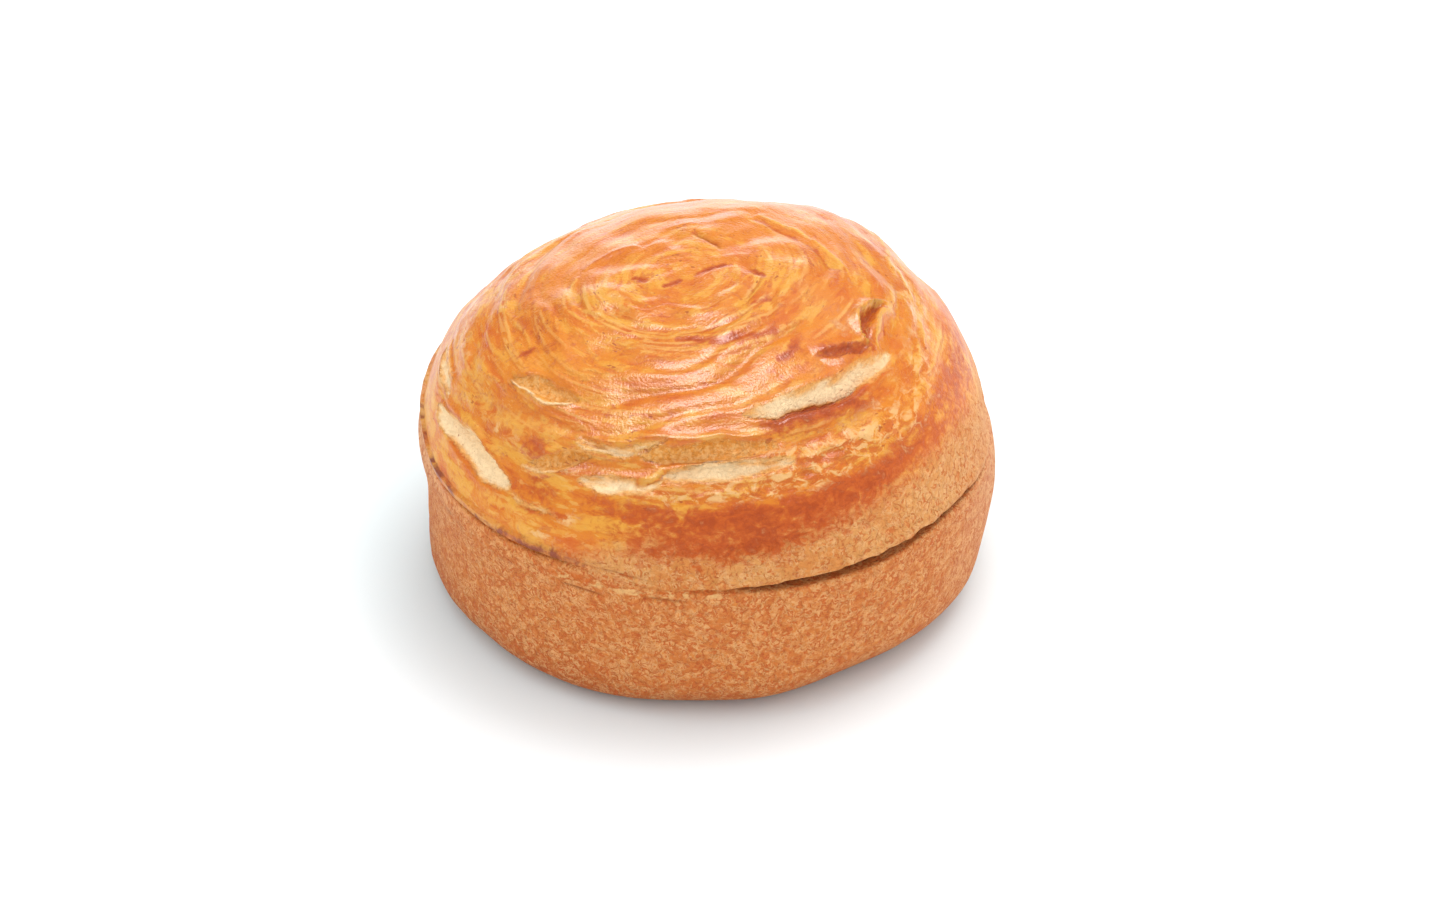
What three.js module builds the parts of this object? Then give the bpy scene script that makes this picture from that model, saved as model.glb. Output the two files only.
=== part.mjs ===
// Croissant bun: one baked piece of layered dough, rolled up into a coil and risen out of a
// round baking ring. Millimetres, +Z up, the flat underside on Z = 0. A turn of 0 degrees
// faces -Y and 90 degrees is +X. "Rise" is the length along the crust, measured at the front
// of the even dome, from the edge of the flat underside up to the top.
import * as THREE from "three";

// Round body that the baking ring shaped
const BASE_RADIUS = 52.0;
const FOOT_ROUND = 7.0;
const FOOT_TOP = 16.0; // from here up the wall is straight all round
const SEAM_RADIUS = 52.8;
const SEAM_HEIGHT = 28.7;
const WALL_LEAN = 1.05; // how far the wall leans to +X at half height
const WALL_LEAN_HEIGHT = 17.5;
const WALL_LEAN_REACH = 9.0;
const FOOT_LEAN = -0.65; // and its foot to -X
const FOOT_LEAN_HEIGHT = 3.3;
const FOOT_LEAN_REACH = 3.0;

// Where the dough didn't fill the corner of the ring and its foot is rounder: turn, reach and how
// much larger the rounding is there
const FOOT_HOLLOWS = [
  { at: -52, reach: 14, more: 1.6 },
  { at: 6, reach: 22, more: 2.7 },
  { at: 34, reach: 14, more: 3.6 },
  { at: 56, reach: 14, more: 1.3 },
];

// Dome that rose over the ring, a little higher at the right
const SHOULDER_RADIUS = 52.75;
const TOP_HEIGHT = 63.4;
const DOME_POWER_OUT = 0.7;
const DOME_POWER_UP = 1.27;
const TOP_SHIFT = -0.9;
const LEAN = 5.9; // how much the +X side would rise at the full radius
const LEAN_LOSS = -5.5; // less of it near the rim

// Seam where the dough rose over the edge of the ring. It climbs at the left. Four turns say
// where something starts, is full, fades and has ended.
const SEAM_CLIMB = 2.3;
const SEAM_CLIMB_TURNS = [-180, -110, -24, -6];
const SEAM_CLIMB_MORE = 1.9;
const SEAM_CLIMB_MORE_AT = -92;
const SEAM_CLIMB_MORE_REACH = 24;
const SEAM_CLIMB_REACH = 11.0; // how far up the dome makes room for it
const SEAM_UNEVEN = 0.15;
const SEAM_DEPTH = 0.9;
const GAP_TURNS = [0, 26, 46, 76]; // open gap under the lip, front right
const GAP_DEPTH = 3.4;
const GAP_HEIGHT = 1.0; // how much higher the lip may stand over it
const GAP_DROP = 0.6; // and how much lower the ledge lies
const LEFT_SEAM_DEPTH = 0.9;
const LEFT_SEAM_TURNS = [-96, -76, -40, -20];
const FRONT_SEAM_LOSS = 0.75; // almost closed at the front left
const FRONT_SEAM_TURNS = [-30, -20, -8, 2];
const HIDDEN_SEAM_DEPTH = 0.8;
const HIDDEN_SEAM_TURNS = [100, 150];
const CLOSED_LEDGE = 0.45; // share of the ledge left where the seam is closed

// Rings of the seam, from the wall up: out and up from the seam line, the share of its depth
// that they lie inward, the share of the gap's drop, and of its height, that they take
const SEAM_RINGS = [
  { out: 0.1, up: -1.8, inward: 0, drop: 0, raised: 0 }, // brow of the wall
  { out: -0.35, up: -0.6, inward: 0, drop: 0, raised: 0 }, // edge of the ledge
  { out: -0.5, up: -0.15, inward: 0.4, drop: 1, raised: 0 }, // ledge
  { out: -0.2, up: 0.3, inward: 1, drop: 0, raised: 0.3 }, // deepest
  { out: -0.1, up: 0.45, inward: 0.5, drop: 0, raised: 0.5 }, // under the lip
  { out: -0.2, up: 0.6, inward: 0, drop: 0, raised: 0.65 }, // edge of the lip
  { out: 0.05, up: 1.2, inward: 0, drop: 0, raised: 0.7 }, // lip
  { out: 0.1, up: 2.2, inward: 0, drop: 0, raised: 0.35 }, // brow of the lip
];

// Layers of the coil: ridges that wind outwards round the swirl, each a skewed wave.
// waves is how many of them lie in one pitch of the coil.
const SWIRL_X = -3.0;
const SWIRL_Y = -4.0;
const COIL_PITCH = 12.0;
const COIL_START = 0.58;
const RIDGES = [
  { waves: 1, height: 0.7, start: 0 },
  { waves: 2, height: 0.6, start: 0.31 },
];
const RIDGE_SKEW = 0.6;
const RIDGE_WOBBLE = 0.16;
const SWIRL_CORE = [5, 13]; // the ridges grow between these radii
const RIDGE_END = [44, 60]; // and fade between these rises
const QUIET_RIDGES = 0.6; // strength on the smoother right side
const QUIET_TURNS = [20, 60, 160, 180];

// Tears where the crust split as the dough rose. turn and rise run from one end to the other,
// bow bends the middle up, bank says which side of the crevice the slope of fresh dough is on.
const TEARS = [
  { turn: [-75, -42], rise: [45.4, 44.2], bow: 1.9, width: 5.6, depth: 1.7, bank: -1, lip: 0.5 },
  { turn: [-43, -30], rise: [44.2, 43.6], bow: -0.6, width: 1.5, depth: 0.6, bank: 1, lip: 0.2 },
  { turn: [-11, 22], rise: [53.4, 53.9], bow: 0.1, width: 3.1, depth: 1.9, bank: -1, lip: 0.4 },
  { turn: [-26, -9], rise: [50.6, 52.2], bow: 0.1, width: 2.6, depth: 1.1, bank: -1, lip: 0.3 },
  { turn: [-14, 19], rise: [57.0, 57.2], bow: 0.3, width: 4.2, depth: 1.8, bank: 1, lip: 0.6 },
  { turn: [11, 61], rise: [63.4, 62.4], bow: -0.2, width: 4.4, depth: 2.1, bank: 1, lip: 0.7 },
  { turn: [-58, -34], rise: [62.6, 64.4], bow: 0.4, width: 3.6, depth: 1.2, bank: 1, lip: 0.6 },
  { turn: [-39, -25], rise: [50.8, 55.4], bow: 0.2, width: 3.8, depth: 1.4, bank: 1, lip: 0.5 },
  { turn: [-32, -7], rise: [58.0, 59.8], bow: -1.4, width: 2.0, depth: 0.9, bank: 1, lip: 0.6 },
  { turn: [-92, -73], rise: [50.2, 48.8], bow: 0.4, width: 2.6, depth: 0.9, bank: -1, lip: 0.3 },
  { turn: [39, 57], rise: [69.6, 65.8], bow: -0.2, width: 2.2, depth: 0.9, bank: 1, lip: 0.7 },
  { turn: [55, 75], rise: [66.0, 67.8], bow: 2.9, width: 2.6, depth: 1.2, bank: -1, lip: 1.0 },
];
const TEAR_LIP_WIDTH = 1.3;
const TEAR_LIP_AWAY = 0.4;
const TEAR_FLOOR = 0.15; // share of the depth left at the shallow side
const TEAR_WALL = 0.35; // share of the half width that the side of a tear takes
const TEAR_ENDS = 0.6; // how blunt the two ends are

// Lumps and hollows of the crust: middle (turn, rise), reach (turn, rise), height
const LUMPS = [
  { at: [117, 54.5], reach: [9, 3.5], height: -0.8 }, // notch beside the outer coil
  { at: [88, 59.5], reach: [16, 3.5], height: -0.8 },
  { at: [104, 43.0], reach: [16, 5.0], height: -0.6 },
  { at: [92, 35.0], reach: [13, 4.0], height: -1.2 },
  { at: [124, 59.5], reach: [7, 3.5], height: 0.35 },
  { at: [143, 65.5], reach: [9, 4.5], height: 0.3 },
  { at: [168, 68.5], reach: [14, 6.0], height: -1.3 },
  { at: [-168, 68.0], reach: [14, 6.0], height: -1.2 },
  { at: [-143, 63.5], reach: [10, 5.0], height: -1.2 },
  { at: [-146, 72.5], reach: [12, 5.0], height: -0.8 },
  { at: [178, 63.0], reach: [12, 6.0], height: -0.6 },
  { at: [-119, 55.6], reach: [7, 3.5], height: -0.8 },
  { at: [-97, 40.5], reach: [10, 4.5], height: -0.4 },
  { at: [-84, 32.5], reach: [10, 3.5], height: 0.5 },
  { at: [20, 46.0], reach: [48, 4.5], height: 0.5 }, // browned shoulder under the front tear
  { at: [-52, 40.0], reach: [24, 3.5], height: 0.5 },
  { at: [-74, 9.5], reach: [12, 5.0], height: -1.0 },
];

// Uneven crust: height, waves round the bun, waves per mm of rise, start
const WAVES = [
  { height: 0.22, round: 3, climb: 0.05, start: 0.6 },
  { height: 0.18, round: 5, climb: -0.09, start: 2.1 },
  { height: 0.14, round: 8, climb: 0.16, start: 4.4 },
  { height: 0.1, round: 13, climb: -0.27, start: 1.2 },
];
const WAVES_FROM = [2, 9]; // no waves on the flat underside
const WAVES_TO = 16; // and none at the middle of the top

// Fineness of the surface
const SEGMENTS = 92;
const FOOT_RINGS = 4;
const WALL_RINGS = 5;
const WALL_TOP_GAP = 3.0; // from the last of them up to the seam
const PROFILE_STEPS = 600;
const DOME_RINGS = [
  { from: 35.8, to: 42.2, count: 4 },
  { from: 42.2, to: 70.8, count: 22 },
  { from: 70.8, to: 99.5, count: 15 },
];
const NORMAL_STEP = 0.5; // rise over which the profile's direction is taken

const clamp = (value, low, high) => Math.min(high, Math.max(low, value));
const blend = (a, b, share) => a + (b - a) * share;
const radians = (degrees) => (degrees * Math.PI) / 180;

function smooth(from, to, value) {
  const share = clamp((value - from) / (to - from), 0, 1);
  return share * share * (3 - 2 * share);
}

// 1 between the two inner turns, 0 outside the two outer ones
function span(turn, [start, full, fade, end]) {
  return smooth(start, full, turn) * (1 - smooth(fade, end, turn));
}

// Signed difference of two turns, -180 to 180 degrees
function turnFrom(turn, middle) {
  return ((((turn - middle + 180) % 360) + 360) % 360) - 180;
}

// The even profile from the edge of the flat underside to the top, as [radius, height]
function evenProfile() {
  const points = [];
  for (let k = 0; k <= PROFILE_STEPS; k++) {
    const angle = (k / PROFILE_STEPS) * (Math.PI / 2);
    points.push([
      BASE_RADIUS - FOOT_ROUND + FOOT_ROUND * Math.sin(angle),
      FOOT_ROUND - FOOT_ROUND * Math.cos(angle),
    ]);
  }
  points.push([SEAM_RADIUS, SEAM_HEIGHT]);
  for (let k = 1; k <= PROFILE_STEPS; k++) {
    const angle = (k / PROFILE_STEPS) * (Math.PI / 2);
    points.push([
      SHOULDER_RADIUS * Math.cos(angle) ** DOME_POWER_OUT,
      blend(SEAM_HEIGHT, TOP_HEIGHT, Math.sin(angle) ** DOME_POWER_UP),
    ]);
  }
  return points;
}

// Rise of every point of the profile, and the look-up of a point at a given rise
const profile = evenProfile();
const rises = [0];
for (let k = 1; k < profile.length; k++) {
  const [r0, z0] = profile[k - 1];
  const [r1, z1] = profile[k];
  rises.push(rises[k - 1] + Math.hypot(r1 - r0, z1 - z0));
}
const TOP_RISE = rises[rises.length - 1];

function profileAt(rise) {
  let low = 0;
  let high = rises.length - 1;
  while (high - low > 1) {
    const middle = (low + high) >> 1;
    if (rises[middle] > rise) high = middle;
    else low = middle;
  }
  const share = clamp((rise - rises[low]) / (rises[high] - rises[low]), 0, 1);
  return [
    blend(profile[low][0], profile[high][0], share),
    blend(profile[low][1], profile[high][1], share),
  ];
}

// The wall widens a little upwards: its radius at a height, its length per height, and the rise
// of a height over a foot of some rounding
const WALL_RUN = SEAM_HEIGHT - FOOT_ROUND;
const WALL_SLOPE = Math.hypot(WALL_RUN, SEAM_RADIUS - BASE_RADIUS) / WALL_RUN;

function wallRadius(height) {
  return BASE_RADIUS + ((height - FOOT_ROUND) * (SEAM_RADIUS - BASE_RADIUS)) / WALL_RUN;
}

function riseOfWall(height, round = FOOT_ROUND) {
  return (round * Math.PI) / 2 + (height - round) * WALL_SLOPE;
}
const SEAM_RISE = riseOfWall(SEAM_HEIGHT);

// The profile at a turn. Up to the foot's top it is rounded by its own radius, and each rise keeps
// its share of the way there.
function crustProfile(rise, turn) {
  const footRise = riseOfWall(FOOT_TOP);
  if (rise >= footRise) return profileAt(rise);
  let round = FOOT_ROUND;
  for (const hollow of FOOT_HOLLOWS) {
    round += hollow.more * Math.exp(-((turnFrom(turn, hollow.at) / hollow.reach) ** 2));
  }
  const way = (rise * riseOfWall(FOOT_TOP, round)) / footRise;
  const corner = (round * Math.PI) / 2;
  if (way > corner) {
    const height = round + (way - corner) / WALL_SLOPE;
    return [wallRadius(height), height];
  }
  const angle = way / round;
  return [wallRadius(round) - round + round * Math.sin(angle), round - round * Math.cos(angle)];
}

// How far the seam climbs at a turn, how open its gap is and how deep it goes
function seamClimb(turn) {
  const far = Math.exp(-(((turn - SEAM_CLIMB_MORE_AT) / SEAM_CLIMB_MORE_REACH) ** 2));
  const uneven = SEAM_UNEVEN * Math.sin(7 * radians(turn) + 1);
  return SEAM_CLIMB * span(turn, SEAM_CLIMB_TURNS) + SEAM_CLIMB_MORE * far + uneven;
}

function gapOpenness(turn) {
  return span(turn, GAP_TURNS);
}

function seamDepth(turn) {
  const left = LEFT_SEAM_DEPTH * span(turn, LEFT_SEAM_TURNS);
  const front = FRONT_SEAM_LOSS * span(turn, FRONT_SEAM_TURNS);
  const hidden = HIDDEN_SEAM_DEPTH * smooth(...HIDDEN_SEAM_TURNS, Math.abs(turn));
  return SEAM_DEPTH + GAP_DEPTH * gapOpenness(turn) + left - front + hidden;
}

// Ridges of the coiled layers at a place of the dome seen from above
function ridges(turn, rise, x, y) {
  const away = Math.hypot(x - SWIRL_X, y - SWIRL_Y);
  const round = Math.atan2(x - SWIRL_X, SWIRL_Y - y);
  const wobble = Math.sin(3 * round + away * 0.21) + 0.5 * Math.sin(7 * round - away * 0.33);
  const pitches = away / COIL_PITCH + round / (2 * Math.PI) - COIL_START + RIDGE_WOBBLE * wobble;
  let sum = 0;
  for (const ridge of RIDGES) {
    const phase = 2 * Math.PI * (ridge.waves * pitches + ridge.start);
    sum += 0.5 * ridge.height * Math.sin(phase + RIDGE_SKEW * Math.sin(phase));
  }
  const side = blend(1, QUIET_RIDGES, span(turn, QUIET_TURNS));
  return sum * side * smooth(...SWIRL_CORE, away) * smooth(...RIDGE_END, rise);
}

// A tear: a crevice at one side, a bank of fresh dough that slopes up to the other, two lips
function tearRelief(tear, turn, rise) {
  const along = (turn - tear.turn[0]) / (tear.turn[1] - tear.turn[0]);
  if (along <= 0 || along >= 1) return 0;
  const belly = 4 * along * (1 - along);
  const open = belly ** TEAR_ENDS;
  const middle = blend(tear.rise[0], tear.rise[1], along) + tear.bow * belly;
  const half = (tear.width / 2) * open;
  const across = (rise - middle) / half;
  const edge = Math.abs(rise - middle) - half;
  const lip = tear.lip * open * Math.exp(-(((edge - TEAR_LIP_AWAY) / TEAR_LIP_WIDTH) ** 2));
  if (edge >= 0) return lip;
  const slope = blend(1, TEAR_FLOOR, (across * tear.bank + 1) / 2);
  const wall = smooth(0, TEAR_WALL, 1 - Math.abs(across));
  return blend(lip, -tear.depth * open * slope, wall);
}

function lumpRelief(lump, turn, rise) {
  const u = turnFrom(turn, lump.at[0]) / lump.reach[0];
  const v = (rise - lump.at[1]) / lump.reach[1];
  return lump.height * Math.exp(-(u * u) - v * v);
}

function waves(turn, rise) {
  let sum = 0;
  for (const wave of WAVES) {
    sum += wave.height * Math.sin(wave.round * radians(turn) + wave.climb * rise + wave.start);
  }
  return sum * smooth(...WAVES_FROM, rise);
}

// Everything that raises or sinks the crust at a turn and rise of the even bun
function relief(turn, rise, radius) {
  const x = radius * Math.sin(radians(turn));
  const y = -radius * Math.cos(radians(turn));
  const centre = smooth(0, WAVES_TO, radius);
  let sum = (waves(turn, rise) + ridges(turn, rise, x, y)) * centre;
  for (const tear of TEARS) sum += tearRelief(tear, turn, rise);
  for (const lump of LUMPS) sum += lumpRelief(lump, turn, rise);
  return sum;
}

// Rings of the bun from the underside to the top
function ringList() {
  const rings = [{ rise: -1 }, { rise: 0 }];
  for (let k = 1; k <= FOOT_RINGS; k++) {
    rings.push({ rise: ((k / FOOT_RINGS) * FOOT_ROUND * Math.PI) / 2 });
  }
  const wallFrom = riseOfWall(FOOT_ROUND);
  const wallTo = riseOfWall(SEAM_HEIGHT - WALL_TOP_GAP);
  for (let k = 1; k <= WALL_RINGS; k++) {
    rings.push({ rise: blend(wallFrom, wallTo, k / WALL_RINGS) });
  }
  for (const seam of SEAM_RINGS) rings.push({ rise: SEAM_RISE, seam });
  for (const zone of DOME_RINGS) {
    for (let k = 0; k < zone.count; k++) {
      rings.push({ rise: blend(zone.from, zone.to, k / zone.count) });
    }
  }
  rings.push({ rise: DOME_RINGS.at(-1).to });
  rings.push({ rise: TOP_RISE });
  return rings;
}

// Where a ring lies on the even profile at a turn, so that all rings make room for the seam
function climbedRise(rise, turn) {
  const below = Math.min(rise / SEAM_RISE, 1);
  const above = 1 - smooth(0, SEAM_CLIMB_REACH, rise - SEAM_RISE);
  return rise + seamClimb(turn) * below * below * above;
}

// Radius and height of a ring at a turn, before the dome's lean
function ringPoint(ring, turn) {
  if (ring.rise === -1) return [0, 0];
  if (ring.rise === 0 || ring.rise === TOP_RISE) return crustProfile(ring.rise, turn);
  const rise = climbedRise(ring.rise, turn);
  const [radius, height] = crustProfile(rise, turn);
  const lump = relief(turn, rise, radius);
  if (ring.seam !== undefined) {
    const { out, up, inward, drop, raised } = ring.seam;
    const gap = gapOpenness(turn);
    const away = out * blend(CLOSED_LEDGE, 1, gap) - inward * seamDepth(turn);
    return [radius + lump + away, height + up + (raised * GAP_HEIGHT - drop * GAP_DROP) * gap];
  }
  const [r0, z0] = crustProfile(Math.max(rise - NORMAL_STEP, 0), turn);
  const [r1, z1] = crustProfile(Math.min(rise + NORMAL_STEP, TOP_RISE), turn);
  const length = Math.hypot(r1 - r0, z1 - z0);
  return [radius + (lump * (z1 - z0)) / length, height + (lump * (r0 - r1)) / length];
}

// The finished place of a ring at a turn: the top leans and shifts, the wall leans a little
function crustPoint(ring, turn) {
  const [radius, height] = ringPoint(ring, turn);
  const x = radius * Math.sin(radians(turn));
  const y = -radius * Math.cos(radians(turn));
  const up = clamp((height - SEAM_HEIGHT) / (TOP_HEIGHT - SEAM_HEIGHT), 0, 1);
  const side = x / SHOULDER_RADIUS;
  const lean = LEAN * side + LEAN_LOSS * side ** 3;
  const wall = WALL_LEAN * Math.exp(-(((height - WALL_LEAN_HEIGHT) / WALL_LEAN_REACH) ** 2));
  const foot = FOOT_LEAN * Math.exp(-(((height - FOOT_LEAN_HEIGHT) / FOOT_LEAN_REACH) ** 2));
  return [x + TOP_SHIFT * up + wall + foot, y, height + up * lean];
}

function bunGeometry() {
  const rings = ringList();
  // The lathe gives the closed grid of rings and turns, and every point then its true place
  const points = rings.map((ring, k) => {
    const onAxis = k === 0 || k === rings.length - 1;
    return new THREE.Vector2(onAxis ? 0 : BASE_RADIUS, k);
  });
  const geometry = new THREE.LatheGeometry(points, SEGMENTS);
  const position = geometry.getAttribute("position");
  for (let segment = 0; segment <= SEGMENTS; segment++) {
    const turn = turnFrom((segment * 360) / SEGMENTS, 0);
    for (let k = 0; k < rings.length; k++) {
      const [x, y, z] = crustPoint(rings[k], turn);
      position.setXYZ(segment * rings.length + k, x, y, z);
    }
  }
  geometry.computeVertexNormals();
  return geometry;
}

const crust = new THREE.MeshStandardMaterial({ color: "#d9883f", roughness: 0.55, metalness: 0 });
const bun = new THREE.Mesh(bunGeometry(), crust);
bun.name = "bun";

const group = new THREE.Group();
group.name = "croissant_bun";
group.add(bun);

export default group;
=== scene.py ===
import bpy
import numpy as np
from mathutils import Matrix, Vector


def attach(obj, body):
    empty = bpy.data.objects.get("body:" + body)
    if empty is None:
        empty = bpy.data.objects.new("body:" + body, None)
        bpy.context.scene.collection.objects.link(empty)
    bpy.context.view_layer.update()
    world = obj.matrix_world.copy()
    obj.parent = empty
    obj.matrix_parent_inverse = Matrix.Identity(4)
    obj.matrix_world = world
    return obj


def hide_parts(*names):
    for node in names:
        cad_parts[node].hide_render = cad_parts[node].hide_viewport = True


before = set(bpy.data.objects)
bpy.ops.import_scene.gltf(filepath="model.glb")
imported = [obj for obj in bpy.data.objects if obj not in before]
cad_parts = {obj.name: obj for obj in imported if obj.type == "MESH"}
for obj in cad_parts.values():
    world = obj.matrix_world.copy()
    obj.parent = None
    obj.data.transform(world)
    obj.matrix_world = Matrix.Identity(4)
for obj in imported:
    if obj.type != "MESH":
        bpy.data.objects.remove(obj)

# A croissant bun, baked in a ring: matt grained wall, a seam, and a glossy egg-washed dome whose
# layers wind up into a coil and split open in places. Sizes here are millimetres, as in the
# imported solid, and turns are degrees: 0 faces -Y and 90 is +X. "Rise" is the length along the
# crust from the edge of the flat underside (0) over the wall and dome to the top.
MM = 0.001

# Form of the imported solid
BASE_RADIUS = 52.0
FOOT_ROUND = 7.0
FOOT_TOP = 16.0
FOOT_HOLLOWS = ((-52, 14, 1.6), (6, 22, 2.7), (34, 14, 3.6), (56, 14, 1.3))  # turn, reach, more
SEAM_RADIUS = 52.8
SEAM_HEIGHT = 28.7
WALL_LEANS = ((1.05, 17.5, 9.0), (-0.65, 3.3, 3.0))  # sideways way, height, reach
SHOULDER_RADIUS = 52.75
TOP_HEIGHT = 63.4
DOME_POWER_OUT, DOME_POWER_UP = 0.7, 1.27
TOP_SHIFT = -0.9
LEAN, LEAN_LOSS = 5.9, -5.5

SEAM_CLIMB, SEAM_CLIMB_TURNS = 2.3, (-180, -110, -24, -6)
SEAM_CLIMB_MORE, SEAM_CLIMB_MORE_AT, SEAM_CLIMB_MORE_REACH = 1.9, -92, 24
SEAM_CLIMB_REACH = 11.0
SEAM_UNEVEN = 0.15
SEAM_DEPTH = 0.9
GAP_TURNS, GAP_DEPTH, GAP_HEIGHT, GAP_DROP = (0, 26, 46, 76), 3.4, 1.0, 0.6
LEFT_SEAM_DEPTH, LEFT_SEAM_TURNS = 0.9, (-96, -76, -40, -20)
FRONT_SEAM_LOSS, FRONT_SEAM_TURNS = 0.75, (-30, -20, -8, 2)
HIDDEN_SEAM_DEPTH, HIDDEN_SEAM_TURNS = 0.8, (100, 150)
CLOSED_LEDGE = 0.45

SWIRL_X, SWIRL_Y = -3.0, -4.0
COIL_PITCH, COIL_START = 12.0, 0.58
RIDGES = ((1, 0.7, 0.0), (2, 0.6, 0.31))  # waves in one pitch, height, start
RIDGE_SKEW, RIDGE_WOBBLE = 0.6, 0.16
WOBBLE_WAVES = ((1.0, 3, 0.21), (0.5, 7, -0.33))  # height, waves round the swirl, waves per mm
SWIRL_CORE, RIDGE_END = (5, 13), (44, 60)
QUIET_RIDGES, QUIET_TURNS = 0.6, (20, 60, 160, 180)

# Tears: turn from-to, rise from-to, bow, width, depth, bank, lip, cream, tan (last two: how
# much of the fresh dough in it is cream, and how much is the darker tan, partly painted shade
# under the overhanging layer and partly dough that has taken a tan)
TEARS = (
    ((-75, -42), (45.4, 44.2), 1.9, 5.6, 1.7, -1, 0.5, 1, 0),
    ((-43, -30), (44.2, 43.6), -0.6, 1.5, 0.6, 1, 0.2, 0.5, 0),
    ((-11, 22), (53.4, 53.9), 0.1, 3.1, 1.9, -1, 0.4, 1, 0),
    ((-26, -9), (50.6, 52.2), 0.1, 2.6, 1.1, -1, 0.3, 1, 0),
    ((-14, 19), (57, 57.2), 0.3, 4.2, 1.8, 1, 0.6, 0, 1),
    ((11, 61), (63.4, 62.4), -0.2, 4.4, 2.1, 1, 0.7, 1, 0),
    ((-58, -34), (62.6, 64.4), 0.4, 3.6, 1.2, 1, 0.6, 0, 0.8),
    ((-39, -25), (50.8, 55.4), 0.2, 3.8, 1.4, 1, 0.5, 0, 1),
    ((-32, -7), (58, 59.8), -1.4, 2, 0.9, 1, 0.6, 0.4, 0.4),
    ((-92, -73), (50.2, 48.8), 0.4, 2.6, 0.9, -1, 0.3, 0.9, 0),
    ((39, 57), (69.6, 65.8), -0.2, 2.2, 0.9, 1, 0.7, 0, 0),
    ((55, 75), (66, 67.8), 2.9, 2.6, 1.2, -1, 1, 0, 0),
)
TEAR_LIP_WIDTH, TEAR_LIP_AWAY = 1.3, 0.4
TEAR_FLOOR, TEAR_WALL, TEAR_ENDS = 0.15, 0.35, 0.6

# Lumps and hollows: turn, rise, reach in turn, reach in rise, height
LUMPS = (
    (117, 54.5, 9, 3.5, -0.8), (88, 59.5, 16, 3.5, -0.8), (104, 43, 16, 5, -0.6),
    (92, 35, 13, 4, -1.2), (124, 59.5, 7, 3.5, 0.35), (143, 65.5, 9, 4.5, 0.3),
    (168, 68.5, 14, 6, -1.3), (-168, 68, 14, 6, -1.2), (-143, 63.5, 10, 5, -1.2),
    (-146, 72.5, 12, 5, -0.8), (178, 63, 12, 6, -0.6), (-119, 55.6, 7, 3.5, -0.8),
    (-97, 40.5, 10, 4.5, -0.4), (-84, 32.5, 10, 3.5, 0.5), (20, 46, 48, 4.5, 0.5),
    (-52, 40, 24, 3.5, 0.5), (-74, 9.5, 12, 5, -1),
)
# Uneven crust: height, waves round the bun, waves per mm of rise, start
WAVES = ((0.22, 3, 0.05, 0.6), (0.18, 5, -0.09, 2.1), (0.14, 8, 0.16, 4.4), (0.1, 13, -0.27, 1.2))
WAVES_FROM, WAVES_TO = (2, 9), 16

# Seam from the wall over the ledge, in under the lip and out on the dome: out, up, share of
# the seam's depth, share of the ledge's drop, share of the gap's height
SEAM_PROFILE = (
    (0.1, -1.8, 0, 0, 0), (-0.35, -0.6, 0, 0, 0), (-0.5, -0.15, 0.4, 1, 0),
    (-0.2, 0.3, 1, 0, 0.3), (-0.1, 0.45, 0.5, 0, 0.5), (-0.2, 0.6, 0, 0, 0.65),
    (0.05, 1.2, 0, 0, 0.7), (0.1, 2.2, 0, 0, 0.35),
)
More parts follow.
